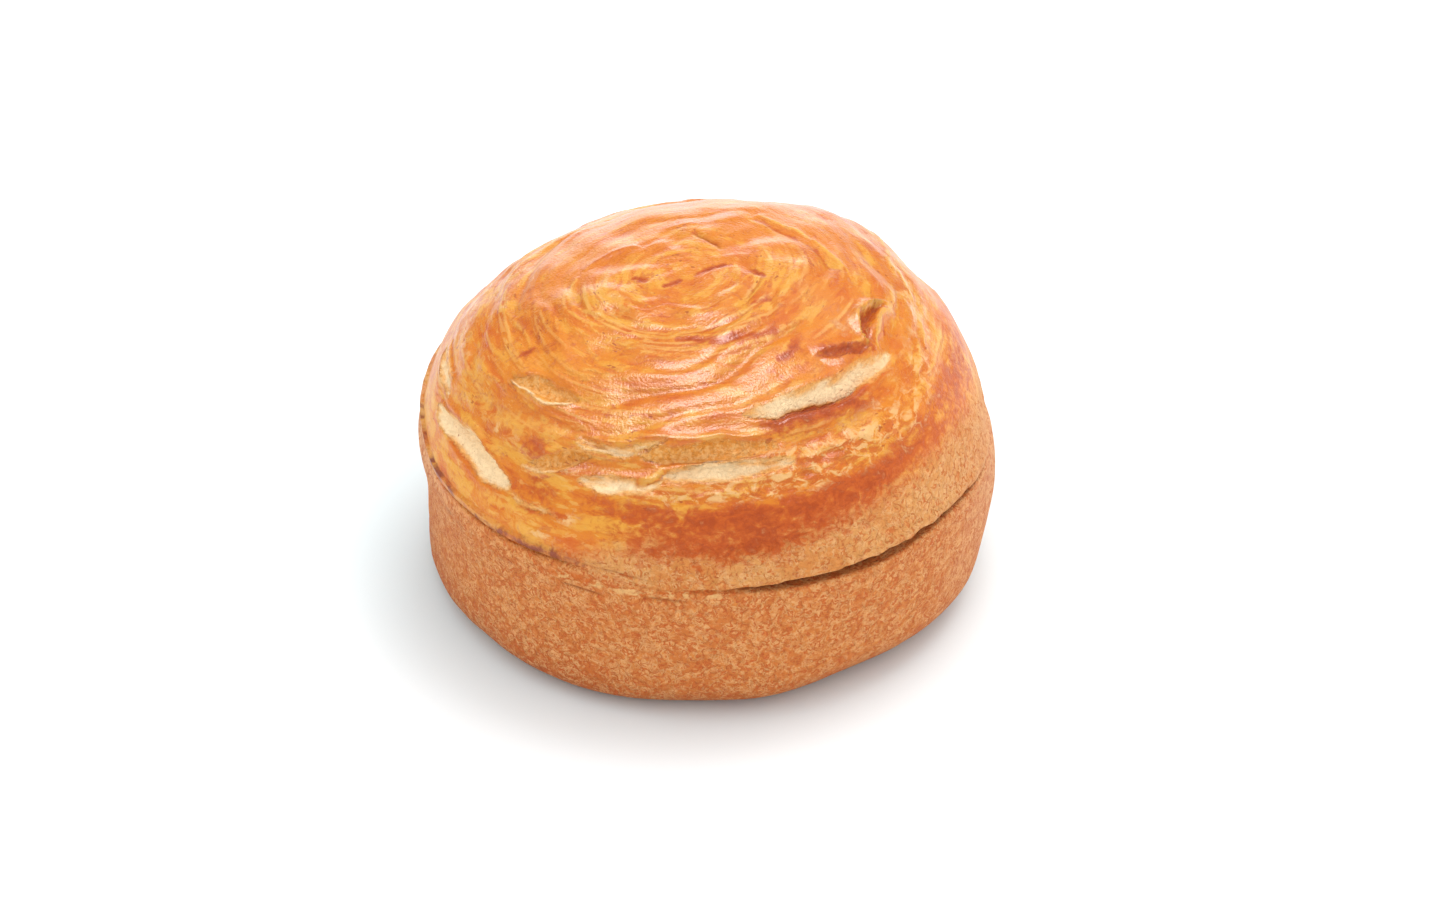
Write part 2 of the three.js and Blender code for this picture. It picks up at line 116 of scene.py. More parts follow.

# Detail over that form
# Strokes along the crust: turn from-to, rise from-to, bow, half width, height, and how much
# it darkens with painted shade in creases, crevices and hollows, browns, bares (or, below 0,
# hides) cream dough and yellows the crust
STROKES = (
    # front tear: line of painted shade along its top, its pale end, a golden flake, the pocket's upper
    # edge
    ((-15, 20), (55.5, 55.6), 0, 0.35, -0.3, 0.6, 0.2, 0, 0),
    ((13, 25), (54.4, 55), 0, 0.5, 0.1, 0, 0, 0.3, 0.7),
    ((-14, -9), (52.4, 54.8), 0, 1, 0.35, 0, 0, -0.9, 0.9),
    ((-15, 17), (59.8, 59.6), 0.3, 0.5, 0.3, 0, 0.1, 0, 0.35),
    # left tear: crust lip above it, its upper left end, its fading lower edge and its tail
    ((-76, -44), (48.5, 47.2), 1.9, 0.9, 0.3, 0, 0.3, 0, 0),
    ((-79, -66), (46.2, 48.9), 0.3, 0.35, -0.3, 0.4, 0, 0, 0),
    ((-72, -46), (42.6, 41.8), 1.8, 0.8, 0, 0, 0, -0.3, 0.2),
    ((-45, -29), (43.4, 42.7), -0.5, 0.35, -0.3, 0.15, 0.2, 0, 0),
    ((-45, -30), (44.4, 43.7), -0.6, 0.9, 0.25, 0, 0, 0.35, 0.4),
    # right tear: dark-orange crevice in painted shade, crust lip below it, browned flap over its right
    # end
    ((12, 48), (61.2, 59.9), 0.3, 1.4, -0.3, 0.12, 1.5, -1.1, 0),
    ((13, 50), (59.4, 58.2), 0.3, 0.7, 0.3, 0, 0.4, 0, 0),
    ((40, 57), (69.6, 65.4), 0.2, 1.2, 0.4, 0.1, 1.1, 0, 0),
    ((41, 56), (68, 64.6), 0.2, 0.35, -0.3, 0.35, 0.4, 0, 0),
    # curl at the right: pale arch round a browned hollow
    ((52, 77), (64, 67.5), 5, 0.9, 0.5, 0, 0, 0.2, 0.9),
    ((57, 73), (66.2, 67.8), 3, 1.2, -0.4, 0.1, 1.2, 0, 0),
    ((57, 74), (63.8, 66.2), 2.8, 0.6, 0.4, 0, 0, 0.3, 0.9),
    ((62, 68), (64.5, 68), 0, 0.4, -0.2, 0.2, 1, 0, 0),
    # inner left split
    ((-57, -45), (61.7, 61.5), 0.7, 0.45, 0.4, 0, 0, 0.8, 0.3),
    ((-46.5, -35), (61.5, 63.6), -0.2, 0.45, 0.4, 0, 0, 0.8, 0.3),
    ((-57, -36), (60.9, 62.7), 0, 0.35, -0.3, 0.35, 0.3, 0, 0),
    # small pocket at the front left, the mound beside it and the lip above
    ((-42, -26.5), (48.8, 53.6), -0.2, 0.5, 0.4, 0, 0, 0.6, 0.3),
    ((-41, -27), (47.8, 52.5), -0.2, 0.45, -0.3, 0.3, 0.4, 0, 0),
    ((-44, -35), (52.8, 53.6), 0, 1.9, 0.5, 0, 0.5, 0, 0),
    ((-31.5, -24), (58.6, 55.6), -0.6, 0.5, 0.35, 0, 0, 0.6, 0.4),
    ((-28, -8), (55.8, 59.6), -0.5, 0.8, 0.4, 0, 0, 0.6, 0.7),
    ((-30, -10), (55.4, 58.3), -1.5, 0.4, -0.3, 0.4, 0.1, 0, 0),
    # pale strips high on the left shoulder
    ((-92, -76), (52.6, 51.4), 0.3, 0.5, 0.25, 0, 0, 0.6, 0),
    ((-90, -74), (48, 47.4), 0.2, 0.4, -0.25, 0.4, 0, 0, 0),
    ((-72, -50), (58, 59.8), 0.5, 0.7, 0.35, 0, 0.3, 0, 0.5),
    ((-88, -58), (66, 69), 0.8, 0.6, 0.3, 0, 0, 0, 0.6),
    # pale streaks on the right shoulder
    ((62, 74), (56.4, 59.8), 0.4, 0.6, 0.3, 0, 0, 0.2, 0.7),
    ((73, 87), (58.2, 61), 0.6, 0.7, 0.3, 0, 0, 0.25, 0.8),
    ((86, 102), (62, 64.4), 0.7, 0.7, 0.3, 0, 0, 0.25, 0.8),
    ((96, 128), (66, 60), 1.5, 0.7, 0.3, 0, 0, 0.2, 0.7),
    # creases beside the seam at the front left, darkened with painted shade
    ((-31, -19), (30.9, 30.2), -0.4, 0.4, -0.35, 0.7, 0.2, 0, 0),
    ((-15, -1), (30.9, 30.3), 0.5, 0.4, -0.35, 0.6, 0.2, 0, 0),
    ((-24, -7), (36.2, 34.2), 0.4, 0.4, -0.3, 0.5, 0.3, 0, 0),
    ((-20, -9), (33.2, 32.4), 0.5, 0.5, 0.3, 0, 0, 0.1, 0.4),
    # layers left open on the hidden side
    ((112, 158), (47.5, 46.2), 1.6, 0.7, 0.35, 0, 0.2, 0.5, 0.3),
    ((116, 156), (46.4, 45), 1.6, 0.4, -0.4, 0.55, 0, 0, 0),
    ((-166, -128), (52, 50.4), 1.4, 0.7, 0.35, 0, 0.2, 0.5, 0.3),
    ((-164, -130), (50.9, 49.3), 1.4, 0.4, -0.4, 0.5, 0, 0, 0),
    ((150, 186), (60.5, 61.5), 1, 0.6, 0.35, 0, 0, 0.3, 0.6),
)
# Strokes on the top, seen from above: x and y of both ends, bow, half width, height, dark
# (painted shade in creases; on the red-brown marks their own darker colour), brown, cream, yellow
TOP_STROKES = (
    # crease in the middle in painted shade, pale edge of the ring at the right with its browned inner
    # side, partly painted shade
    ((-1.2, 10), (4.6, 2.8), 0.3, 0.45, -0.5, 0.6, 0.5, 0, 0),
    ((10.7, 15.6), (21.3, 5.8), 0.6, 0.5, 0.45, 0, 0, 0.1, 0.8),
    ((20.6, 6.8), (25.8, -2.2), 0.4, 0.5, 0.5, 0, 0, 0.15, 0.8),
    ((10, 14), (23.9, -2.6), 1.4, 0.6, -0.35, 0.1, 0.7, 0, 0),
    # ridge with an orange-brown side at the left, and the pale arcs round the front
    ((-21, 2.7), (-10.7, 7.1), 0.8, 0.7, 0.3, 0, 0.5, 0, 0),
    ((-21.8, 0.9), (-21.8, -9.8), -1.3, 0.5, 0.3, 0, 0, 0, 0.7),
    ((-22, -9), (-10.7, -16.9), -1, 0.55, 0.35, 0, 0, 0, 0.75),
    ((-12, -16.3), (-1, -19.3), -0.4, 0.5, 0.3, 0, 0, 0, 0.7),
    ((-24, -8), (-14.2, -18.7), -1.4, 0.5, 0.3, 0, 0, 0, 0.6),
    ((-15, -18.2), (6.2, -22.2), -1.2, 0.5, 0.3, 0, 0, 0, 0.6),
    # red-brown marks
    ((-1.5, -5), (6, -2.2), 0.2, 0.75, -0.2, 0.1, 1.4, 0, 0),
    ((-6.8, -8), (-3, -5.8), -0.2, 0.6, -0.15, 0.1, 1.25, 0, 0),
    ((-11.8, -3.2), (-8.6, -5.6), 0.2, 0.8, -0.2, 0.1, 1.35, 0, 0),
    ((9, -4.6), (11.4, -7.4), 0.1, 0.7, -0.2, 0.1, 1.25, 0, 0),
    ((8.6, -14.2), (12.6, -13.4), 0.1, 0.6, -0.15, 0.1, 1.3, 0, 0),
    ((-4.2, -21.8), (1.4, -23.4), -0.2, 0.75, -0.2, 0.1, 1.35, 0, 0),
    ((1.2, -23.4), (13.8, -21), -1, 0.9, -0.2, 0.05, 1.3, 0, 0),
    ((13, -28), (17.4, -21.8), -0.4, 0.9, -0.1, 0, 0.95, 0, 0),
    ((-32.4, -16.7), (-28.6, -16.3), 0, 0.8, -0.1, 0.25, 1, 0, 0),
    # pale speckled patches beside the core and on it
    ((-8, 1), (9, 3), 0, 5, 0, 0, 0, 0, 0.3),
    ((-18, -3), (-10, -13.5), -1.6, 2.6, 0.1, 0, 0, 0.05, 0.55),
)
# How brown the crust has baked, as patches: turn, rise, reach in turn, reach in rise, amount
BROWNING = (
    (-36, 47, 6, 2, 0.6), (-40, 53, 4, 2.4, 0.25), (38, 56.5, 16, 2.4, 0.25), (84, 49, 12, 4, 0.3),
    (-60, 56, 9, 2.2, 0.2), (-72, 71, 22, 4, 0.3), (110, 48, 24, 5, 0.45), (150, 50, 26, 5, 0.4),
    (-140, 46, 30, 5, 0.45), (-104, 51, 14, 4, 0.3), (30, 70, 22, 3, 0.25),
)
# Browned band under the front tear: at turns, its strength and its lower and upper edge in rise,
# and the way over which each edge fades
BAND_TURNS = (-30, -14, 6, 20, 34, 46, 60, 96)
BAND_AMOUNTS = (0, 0.7, 1.15, 1.1, 1.05, 0.95, 0.75, 0.2)
BAND_LOWER = (43, 40, 38.5, 40, 42.5, 44.5, 45.5, 47)
BAND_UPPER = (48.5, 48.8, 48.2, 47.8, 48.8, 51, 53, 54)
BAND_FADES_LOW, BAND_FADES_HIGH = (-4.0, 4.0), (-1.2, 1.2)
# More patches of the same kind: golden and pale crust
YELLOWING = (
    (52, 58.5, 8, 3.5, 0.25), (-58, 39.5, 18, 2.6, 0.35), (-36, 38.8, 6, 1.3, 0.5),
    (-46, 41.5, 8, 1.6, 0.3), (-52, 55, 12, 3, 0.5), (-18, 55.5, 6, 1.5, 0.4),
    (90, 61, 14, 5, 0.3), (-34, 42, 7, 1, 0.5), (-36, 58, 10, 3, 0.4), (74, 58, 14, 7, 0.3),
    (-72, 56, 12, 4, 0.4),
)
# Even glaze where the light catches it: calmer relief, and lower colour contrast as painted sheen of
# the highlight
CALM = ((2, 67, 24, 9, 0.45),)
# Deeper golden glaze
RICH = ((-52, 68, 22, 9, 0.8), (36, 70, 20, 8, 0.5), (52, 55, 10, 3, 0.5), (-88, 54, 12, 3, 0.5))
# Painted sheen: crust paler at the sides, where the white surroundings reflect
SIDE_SHEEN = ((96, 26, 30, 20, 0.55), (-94, 36, 15, 7, 0.6), (-70, 34, 14, 3, 0.4))
# Where layers have puffed into loose flakes
FLAKY = (
    (30, 52.6, 24, 3.4, 1.3), (2, 50, 20, 1.2, 0.7), (-49, 53.2, 5, 1.2, 0.7),
    (-31.5, 53.4, 4, 2.2, 0.9), (66, 58, 14, 4.5, 0.5), (-84, 56, 12, 4, 0.35),
    (128, 52, 20, 4, 0.5), (-150, 56, 24, 4, 0.5), (58, 70, 12, 3, 0.35), (90, 62.5, 12, 5, 0.5),
    (-33, 39.3, 3, 0.8, 0.8), (-27, 43.6, 3, 1.6, 0.7), (-26, 32.4, 8, 1.1, 0.9),
    (-12, 32, 7, 0.9, 0.9), (2, 32.4, 8, 0.8, 0.6),
)
# The egg wash ends at this rise, at turns all round the bun
WASH_TURNS = (-180, -110, -80, -40, -24, -10, 30, 60, 90, 130, 180)
WASH_ENDS = (41, 37, 36, 35.5, 37.5, 42.5, 43.5, 46, 44, 41, 41)
# Open edges of the thin layers: how many, their least and greatest length, how much they wind
# outwards per mm, their height, and their distance from the coil's core
LAYER_ARCS, ARC_LENGTHS, ARC_WIND, ARC_HEIGHTS = 180, (6.0, 26.0), (0.05, 0.045), (0.05, 0.2)
ARC_REACH = (8.0, 58.0)
# Their drop outwards and slope inwards in mm, how they thin to their ends, how far their lines
# count and where those fade
ARC_DROP, ARC_SLOPE, ARC_ENDS, ARC_FAR, ARC_FADES = 0.35, 2.0, 0.7, 1.5, (0.6, 1.0)
# Layers wind round the swirl's middle over these rises, and evenly this close to it. They open
# this far from it and at these rises
WIND_RISE, WIND_CORE, COIL_AWAY, COIL_RISE = (50, 75), 8.0, (8, 18), (46, 54)
# The top is smoother at the back, from-to in y (further forward left of an x) and in rise, and
# the right shoulder a little
SMOOTH_Y, SMOOTH_LEFT, SMOOTH_X, SMOOTH_RISE, SMOOTH_LOSS = (-5, 12), 0.6, -8, (64, 76), 0.7
SIDE_LOSS, SIDE_TURNS = 0.3, (30, 70, 150, 175)
# Noises: height, size in mm and seed. Torn edges wander in rise and in turn, top strokes bend
TORN_RISE, TORN_TURN = ((0.6, 5.0, 11), (0.35, 2.0, 12)), ((1.6, 6.0, 13), (0.8, 2.2, 14))
BENT_X, BENT_Y = ((0.5, 4.0, 15),), ((0.5, 4.0, 16),)
UNEVEN_WINDING, UNEVEN_EDGES = ((0.9, 16.0, 21), (0.2, 6.0, 22)), ((0.15, 2.5, 23),)
FOLDS, FOLDS_RISE = ((0.12, 3.0, 42),), (44, 50)
UNEVEN_BAND, UNEVEN_WASH, UNEVEN_PLUM = ((0.8, 4.0, 43),), ((1.2, 7.0, 61),), ((0.6, 1.6, 75),)
LUMPY, LUMPY_RISE = ((0.12, 7.0, 41), (0.06, 3.5, 42), (0.03, 1.75, 43)), (3, 9)
FLAKE_HEIGHT, FLAKE_STRETCH, FLAKE_SIZES = 0.4, (1, 1, 1.8), (3.2, 1.4)
ON_DOME = (1, 5)  # torn edges start to wander, in rise above the seam
# Ripples in a tear: height, waves round the bun, bend, lean, and from-to inwards from its edge
RIPPLE, RIPPLE_WAVES, RIPPLE_BEND, RIPPLE_LEAN, RIPPLE_INSIDE = 0.14, 230, 3.5, 0.6, (0.2, 1.2)
# Way inwards that stands for no fresh dough, how a small share lessens it, how strokes bare and
# hide it and thin to their ends
OUTSIDE, FRESH_LESS, BARES_FROM, BARES_BY, HIDES_BY, STROKE_ENDS = -3.0, 0.9, 0.45, 1.6, 2.2, 0.4
# Plum shade at the left: turn from-to, rise from-to, bow, half width, amount
PLUM_STROKES = (
    ((-88, -16), (39.2, 36.2), -0.9, 1.3, 1.0), ((-92, -30), (33.4, 30.4), -0.9, 1.1, 0.55),
)
PLUM_EVEN = 0.65
# Ragged lip of the seam, and where its ledge and its dark line of painted shade are lost or fainter
SEAM_RAG, CLOSED_RAG, RAG_STARTS = ((0.45, 4.0, 71), (0.4, 1.8, 72)), 0.4, (0.0, 0.4)
SEAM_TORN, SEAM_FAINT = ((0.35, 5.0, 73),), ((0.2, 3.0, 74),)
LEDGE_LOSS, LEDGE_LOSS_TURNS = 0.7, (-36, -22, 0, 12)
FRONT_FAINT, FRONT_FAINT_TURNS, FAINT_EVEN = 0.97, (-34, -22, 0, 12), 0.8
LEFT_FAINT, LEFT_FAINT_TURNS = 0.5, (-82, -70, -34, -22)
# Its dark line of painted shade in the gap, and painted shade of the creases along it and at the left:
# strength, height over it, reach
SEAM_SHADE, GAP_CREASE_LOSS, LEFT_CREASE_TURNS = 0.9, 0.6, (-96, -82, -22, -12)
SEAM_CREASE, LEFT_CREASE = (0.35, 0.35, 0.6), (0.5, 1.0, 0.45)

# The mesh: columns round the bun, rows of its parts, and rise from, to and rows of its zones
COLUMNS = 480
UNDERSIDE_ROWS, SEAM_ROWS = 5, 22
WALL_ZONES = ((0.0, 11.0, 11), (11.0, 26.0, 15), (26.0, 30.1, 8))
DOME_ZONES = ((35.8, 45.0, 21), (45.0, 72.0, 62), (72.0, 101.6, 61))
# Where the relief starts above the underside, how far to either side the profile's direction is
# taken, and how far the middle of the top lies over the ring round it
RELIEF_STARTS, NORMAL_STEP, TOP_POINT = (0.0, 1.5), 0.5, 0.02
NOISE_CELLS, NOISE_SHIFT = 48, 17.3  # lattice of the noise, and its shift in cells


# Tools for the numbers
def smooth(start, end, value):
    """0 before start, 1 after end, and the curve 3s^2 - 2s^3 of the share s between them."""
    share = np.clip((value - start) / (end - start), 0, 1)
    return share * share * (3 - 2 * share)


def span(turn, turns):
    """Rises from 0 to 1 between the first two turns, and falls back between the last two."""
    return smooth(turns[0], turns[1], turn) * (1 - smooth(turns[2], turns[3], turn))


def bell(value, reach):
    """The bell curve exp(-(value / reach)^2)."""
    return np.exp(-((value / reach) ** 2))


def turn_from(turn, middle):
    """Signed difference of two turns, -180 to 180 degrees."""
    return (turn - middle + 180) % 360 - 180


def noise(points, size, seed):
    """Smooth noise, -1 to 1: random numbers on a cubic lattice whose cells have the given size in
    mm, blended inside each cell with 3s^2 - 2s^3 along each axis."""
    table = np.random.default_rng(seed).uniform(-1, 1, (NOISE_CELLS,) * 3)
    place = points / size + NOISE_SHIFT
    low = np.floor(place).astype(int)
    share = place - low
    share = share * share * (3 - 2 * share)
    total = 0
    for corner in np.ndindex(2, 2, 2):
        weight = np.prod(np.where(corner, share, 1 - share), axis=-1)
        index = (low + corner) % NOISE_CELLS
        total = total + weight * table[index[..., 0], index[..., 1], index[..., 2]]
    return total


def mixed_noise(points, rows):
    """Sum of noises, each with its height, size and seed."""
    return sum(height * noise(points, size, seed) for height, size, seed in rows)


# The even bun
def even_profile():
    """Radius, height and rise of the even bun: a quarter circle for the foot, a straight wall,
    then radius cos(a)^p and height sin(a)^q for the dome."""
    angle = np.linspace(0, np.pi / 2, 601)
    foot = BASE_RADIUS - FOOT_ROUND + FOOT_ROUND * np.sin(angle), FOOT_ROUND * (1 - np.cos(angle))
    dome = (
        SHOULDER_RADIUS * np.cos(angle[1:]) ** DOME_POWER_OUT,
        SEAM_HEIGHT + (TOP_HEIGHT - SEAM_HEIGHT) * np.sin(angle[1:]) ** DOME_POWER_UP,
    )
    radius = np.concatenate([foot[0], [SEAM_RADIUS], dome[0]])
    height = np.concatenate([foot[1], [SEAM_HEIGHT], dome[1]])
    radius[-1] = 0
    rise = np.concatenate([[0], np.cumsum(np.hypot(np.diff(radius), np.diff(height)))])
    return radius, height, rise


RADII, HEIGHTS, RISES = even_profile()
TOP_RISE = RISES[-1]
WALL_SLOPE = np.hypot(SEAM_HEIGHT - FOOT_ROUND, SEAM_RADIUS - BASE_RADIUS) / (SEAM_HEIGHT - FOOT_ROUND)
WALL_START = FOOT_ROUND * np.pi / 2
SEAM_RISE = WALL_START + (SEAM_HEIGHT - FOOT_ROUND) * WALL_SLOPE


def on_crust(rise, turn):
    """Radius and height at a rise: the even bun's, with the foot rounded by its own radius R at
    each turn: up to the foot's top, R sin(w / R) out and R (1 - cos(w / R)) up for a way w along
    it, then the straight wall."""
    more = sum(more * bell(turn_from(turn, at), reach) for at, reach, more in FOOT_HOLLOWS)
    round_ = FOOT_ROUND + more
    whole = FOOT_ROUND * np.pi / 2 + (FOOT_TOP - FOOT_ROUND) * WALL_SLOPE
    corner = round_ * np.pi / 2
    way = rise * (corner + (FOOT_TOP - round_) * WALL_SLOPE) / whole
    angle = np.minimum(way, corner) / round_
    straight = np.maximum(way - corner, 0) / WALL_SLOPE
    widening = (SEAM_RADIUS - BASE_RADIUS) / (SEAM_HEIGHT - FOOT_ROUND)
    height = round_ * (1 - np.cos(angle)) + straight
    radius = BASE_RADIUS + (round_ - FOOT_ROUND + straight) * widening - round_ * (1 - np.sin(angle))
    radius = np.where(rise < whole, radius, np.interp(rise, RISES, RADII))
    return radius, np.where(rise < whole, height, np.interp(rise, RISES, HEIGHTS))


def seam_climb(turn):
    """How far the seam lies above its mean height at a turn."""
    far = bell(turn - SEAM_CLIMB_MORE_AT, SEAM_CLIMB_MORE_REACH)
    uneven = SEAM_UNEVEN * np.sin(7 * np.radians(turn) + 1)
    return SEAM_CLIMB * span(turn, SEAM_CLIMB_TURNS) + SEAM_CLIMB_MORE * far + uneven


def seam_depth(turn):
    """How deep the seam goes at a turn."""
    left = LEFT_SEAM_DEPTH * span(turn, LEFT_SEAM_TURNS)
    front = FRONT_SEAM_LOSS * span(turn, FRONT_SEAM_TURNS)
    hidden = HIDDEN_SEAM_DEPTH * smooth(*HIDDEN_SEAM_TURNS, np.abs(turn))
    return SEAM_DEPTH + GAP_DEPTH * span(turn, GAP_TURNS) + left - front + hidden


def swirl_place(x, y):
    """Distance from the middle of the swirl, and the angle round it."""
    return np.hypot(x - SWIRL_X, y - SWIRL_Y), np.arctan2(x - SWIRL_X, SWIRL_Y - y)


def coil_ridges(turn, rise, x, y):
    """Skewed sine waves along the radius of a spiral round the swirl, faded at core and rim."""
    away, round_ = swirl_place(x, y)
    wobble = sum(h * np.sin(n * round_ + away * c) for h, n, c in WOBBLE_WAVES)
    pitches = away / COIL_PITCH + round_ / (2 * np.pi) - COIL_START + RIDGE_WOBBLE * wobble
    total = 0
    for waves, height, start in RIDGES:
        phase = 2 * np.pi * (waves * pitches + start)
        total = total + 0.5 * height * np.sin(phase + RIDGE_SKEW * np.sin(phase))
    quiet = 1 + (QUIET_RIDGES - 1) * span(turn, QUIET_TURNS)
    return total * quiet * smooth(*SWIRL_CORE, away) * smooth(*RIDGE_END, rise)


def tear_parts(tear, turn, rise):
    """One tear: its relief, and the distance in mm from its edge to the inside. Across its width
    the floor slopes from a crevice at one side up to the other, and a rounded lip lies outside."""
    turns, ends, bow, width, depth, bank, lip_height = tear[:7]
    along = (turn - turns[0]) / (turns[1] - turns[0])
    belly = np.clip(4 * along * (1 - along), 0, 1)
    wide = belly**TEAR_ENDS
    half = np.maximum(width / 2 * wide, 1e-6)
    offset = rise - (ends[0] + (ends[1] - ends[0]) * along + bow * belly)
    across = offset / half
    edge = np.abs(offset) - half
    lip = lip_height * wide * bell(edge - TEAR_LIP_AWAY, TEAR_LIP_WIDTH)
    slope = 1 + (TEAR_FLOOR - 1) * (across * bank + 1) / 2
    wall = smooth(0, TEAR_WALL, 1 - np.abs(across))
    inside = lip + (-depth * wide * slope - lip) * wall
    relief = np.where(edge >= 0, lip, inside) * (belly > 0)
    return relief, np.where(belly > 0, -edge, OUTSIDE)


def fresh_dough(inside, share):
    """The way in from a tear's edge, less where only a share of its dough is of this kind."""
    return inside - FRESH_LESS * (1 - share) if share > 0 else OUTSIDE


def uneven(turn, rise):
    """Low sine waves round the bun and up the crust."""
    waves = sum(h * np.sin(n * np.radians(turn) + c * rise + s) for h, n, c, s in WAVES)
    return waves * smooth(*WAVES_FROM, rise)


# Strokes and patches
def bowed(along, across, bow, half):
    """1 on a line bowed by 4s(1-s) of the bow at a share s along it, falling off as a bell across
    it and fading towards both ends."""
    belly = np.clip(4 * along * (1 - along), 0, 1)
    return bell(across - bow * belly, half) * belly**STROKE_ENDS


def stroke_share(turn, rise, turns, ends, bow, half):
    """How strong a stroke from one turn and rise to another is."""
    along = turn_from(turn, turns[0]) / (turns[1] - turns[0])
    return bowed(along, rise - ends[0] - (ends[1] - ends[0]) * along, bow, half)


def top_stroke_share(x, y, start, end, bow, half):
    """The same for a line between two points of the top seen from above."""
    (x0, y0), (x1, y1) = start, end
    length = np.hypot(x1 - x0, y1 - y0)
    ux, uy = (x1 - x0) / length, (y1 - y0) / length
    along = ((x - x0) * ux + (y - y0) * uy) / length
    return bowed(along, (y - y0) * ux - (x - x0) * uy, bow, half)


def patches(turn, rise, rows):
    """Sum of bell-shaped patches, each at a turn and rise with its reach and amount."""
    total = 0
    for at, up, reach_turn, reach_rise, amount in rows:
        total = total + amount * bell(turn_from(turn, at), reach_turn) * bell(rise - up, reach_rise)
    return total


def layer_edges(x, y, winding):
    """Edges of the thin layers: seeded arcs round the swirl, where the surface steps down
    outwards by h exp(-(max(o, 0) / drop)^2) exp(min(o, 0) / slope), o mm outside the arc's line.
    Gives that relief, o for the nearest arc, and how plainly that arc shows."""
    rng = np.random.default_rng(301)
    away, round_ = swirl_place(x, y)
    relief, shown = np.zeros(x.shape), np.zeros(x.shape)
    nearest = np.full(x.shape, ARC_FAR)
    for _ in range(LAYER_ARCS):
        middle, start = rng.uniform(-np.pi, np.pi), rng.uniform(*ARC_REACH)
        half = rng.uniform(*ARC_LENGTHS) / 2
        wind, height = rng.normal(*ARC_WIND), rng.uniform(*ARC_HEIGHTS)
        along = ((round_ - middle + np.pi) % (2 * np.pi) - np.pi) * away
        o = winding - start - wind * along
        ends = np.clip(1 - (along / half) ** 2, 0, 1) ** ARC_ENDS
        step = bell(np.maximum(o, 0), ARC_DROP) * np.exp(np.minimum(o, 0) / ARC_SLOPE)
        relief = relief + height * ends * step
        closer = (ends > 0) & (np.abs(o) < np.abs(nearest))
        nearest = np.where(closer, o, nearest)
        shown = np.where(closer, ends * height / ARC_HEIGHTS[1], shown)
    return relief, nearest, shown * (1 - smooth(*ARC_FADES, np.abs(nearest)))


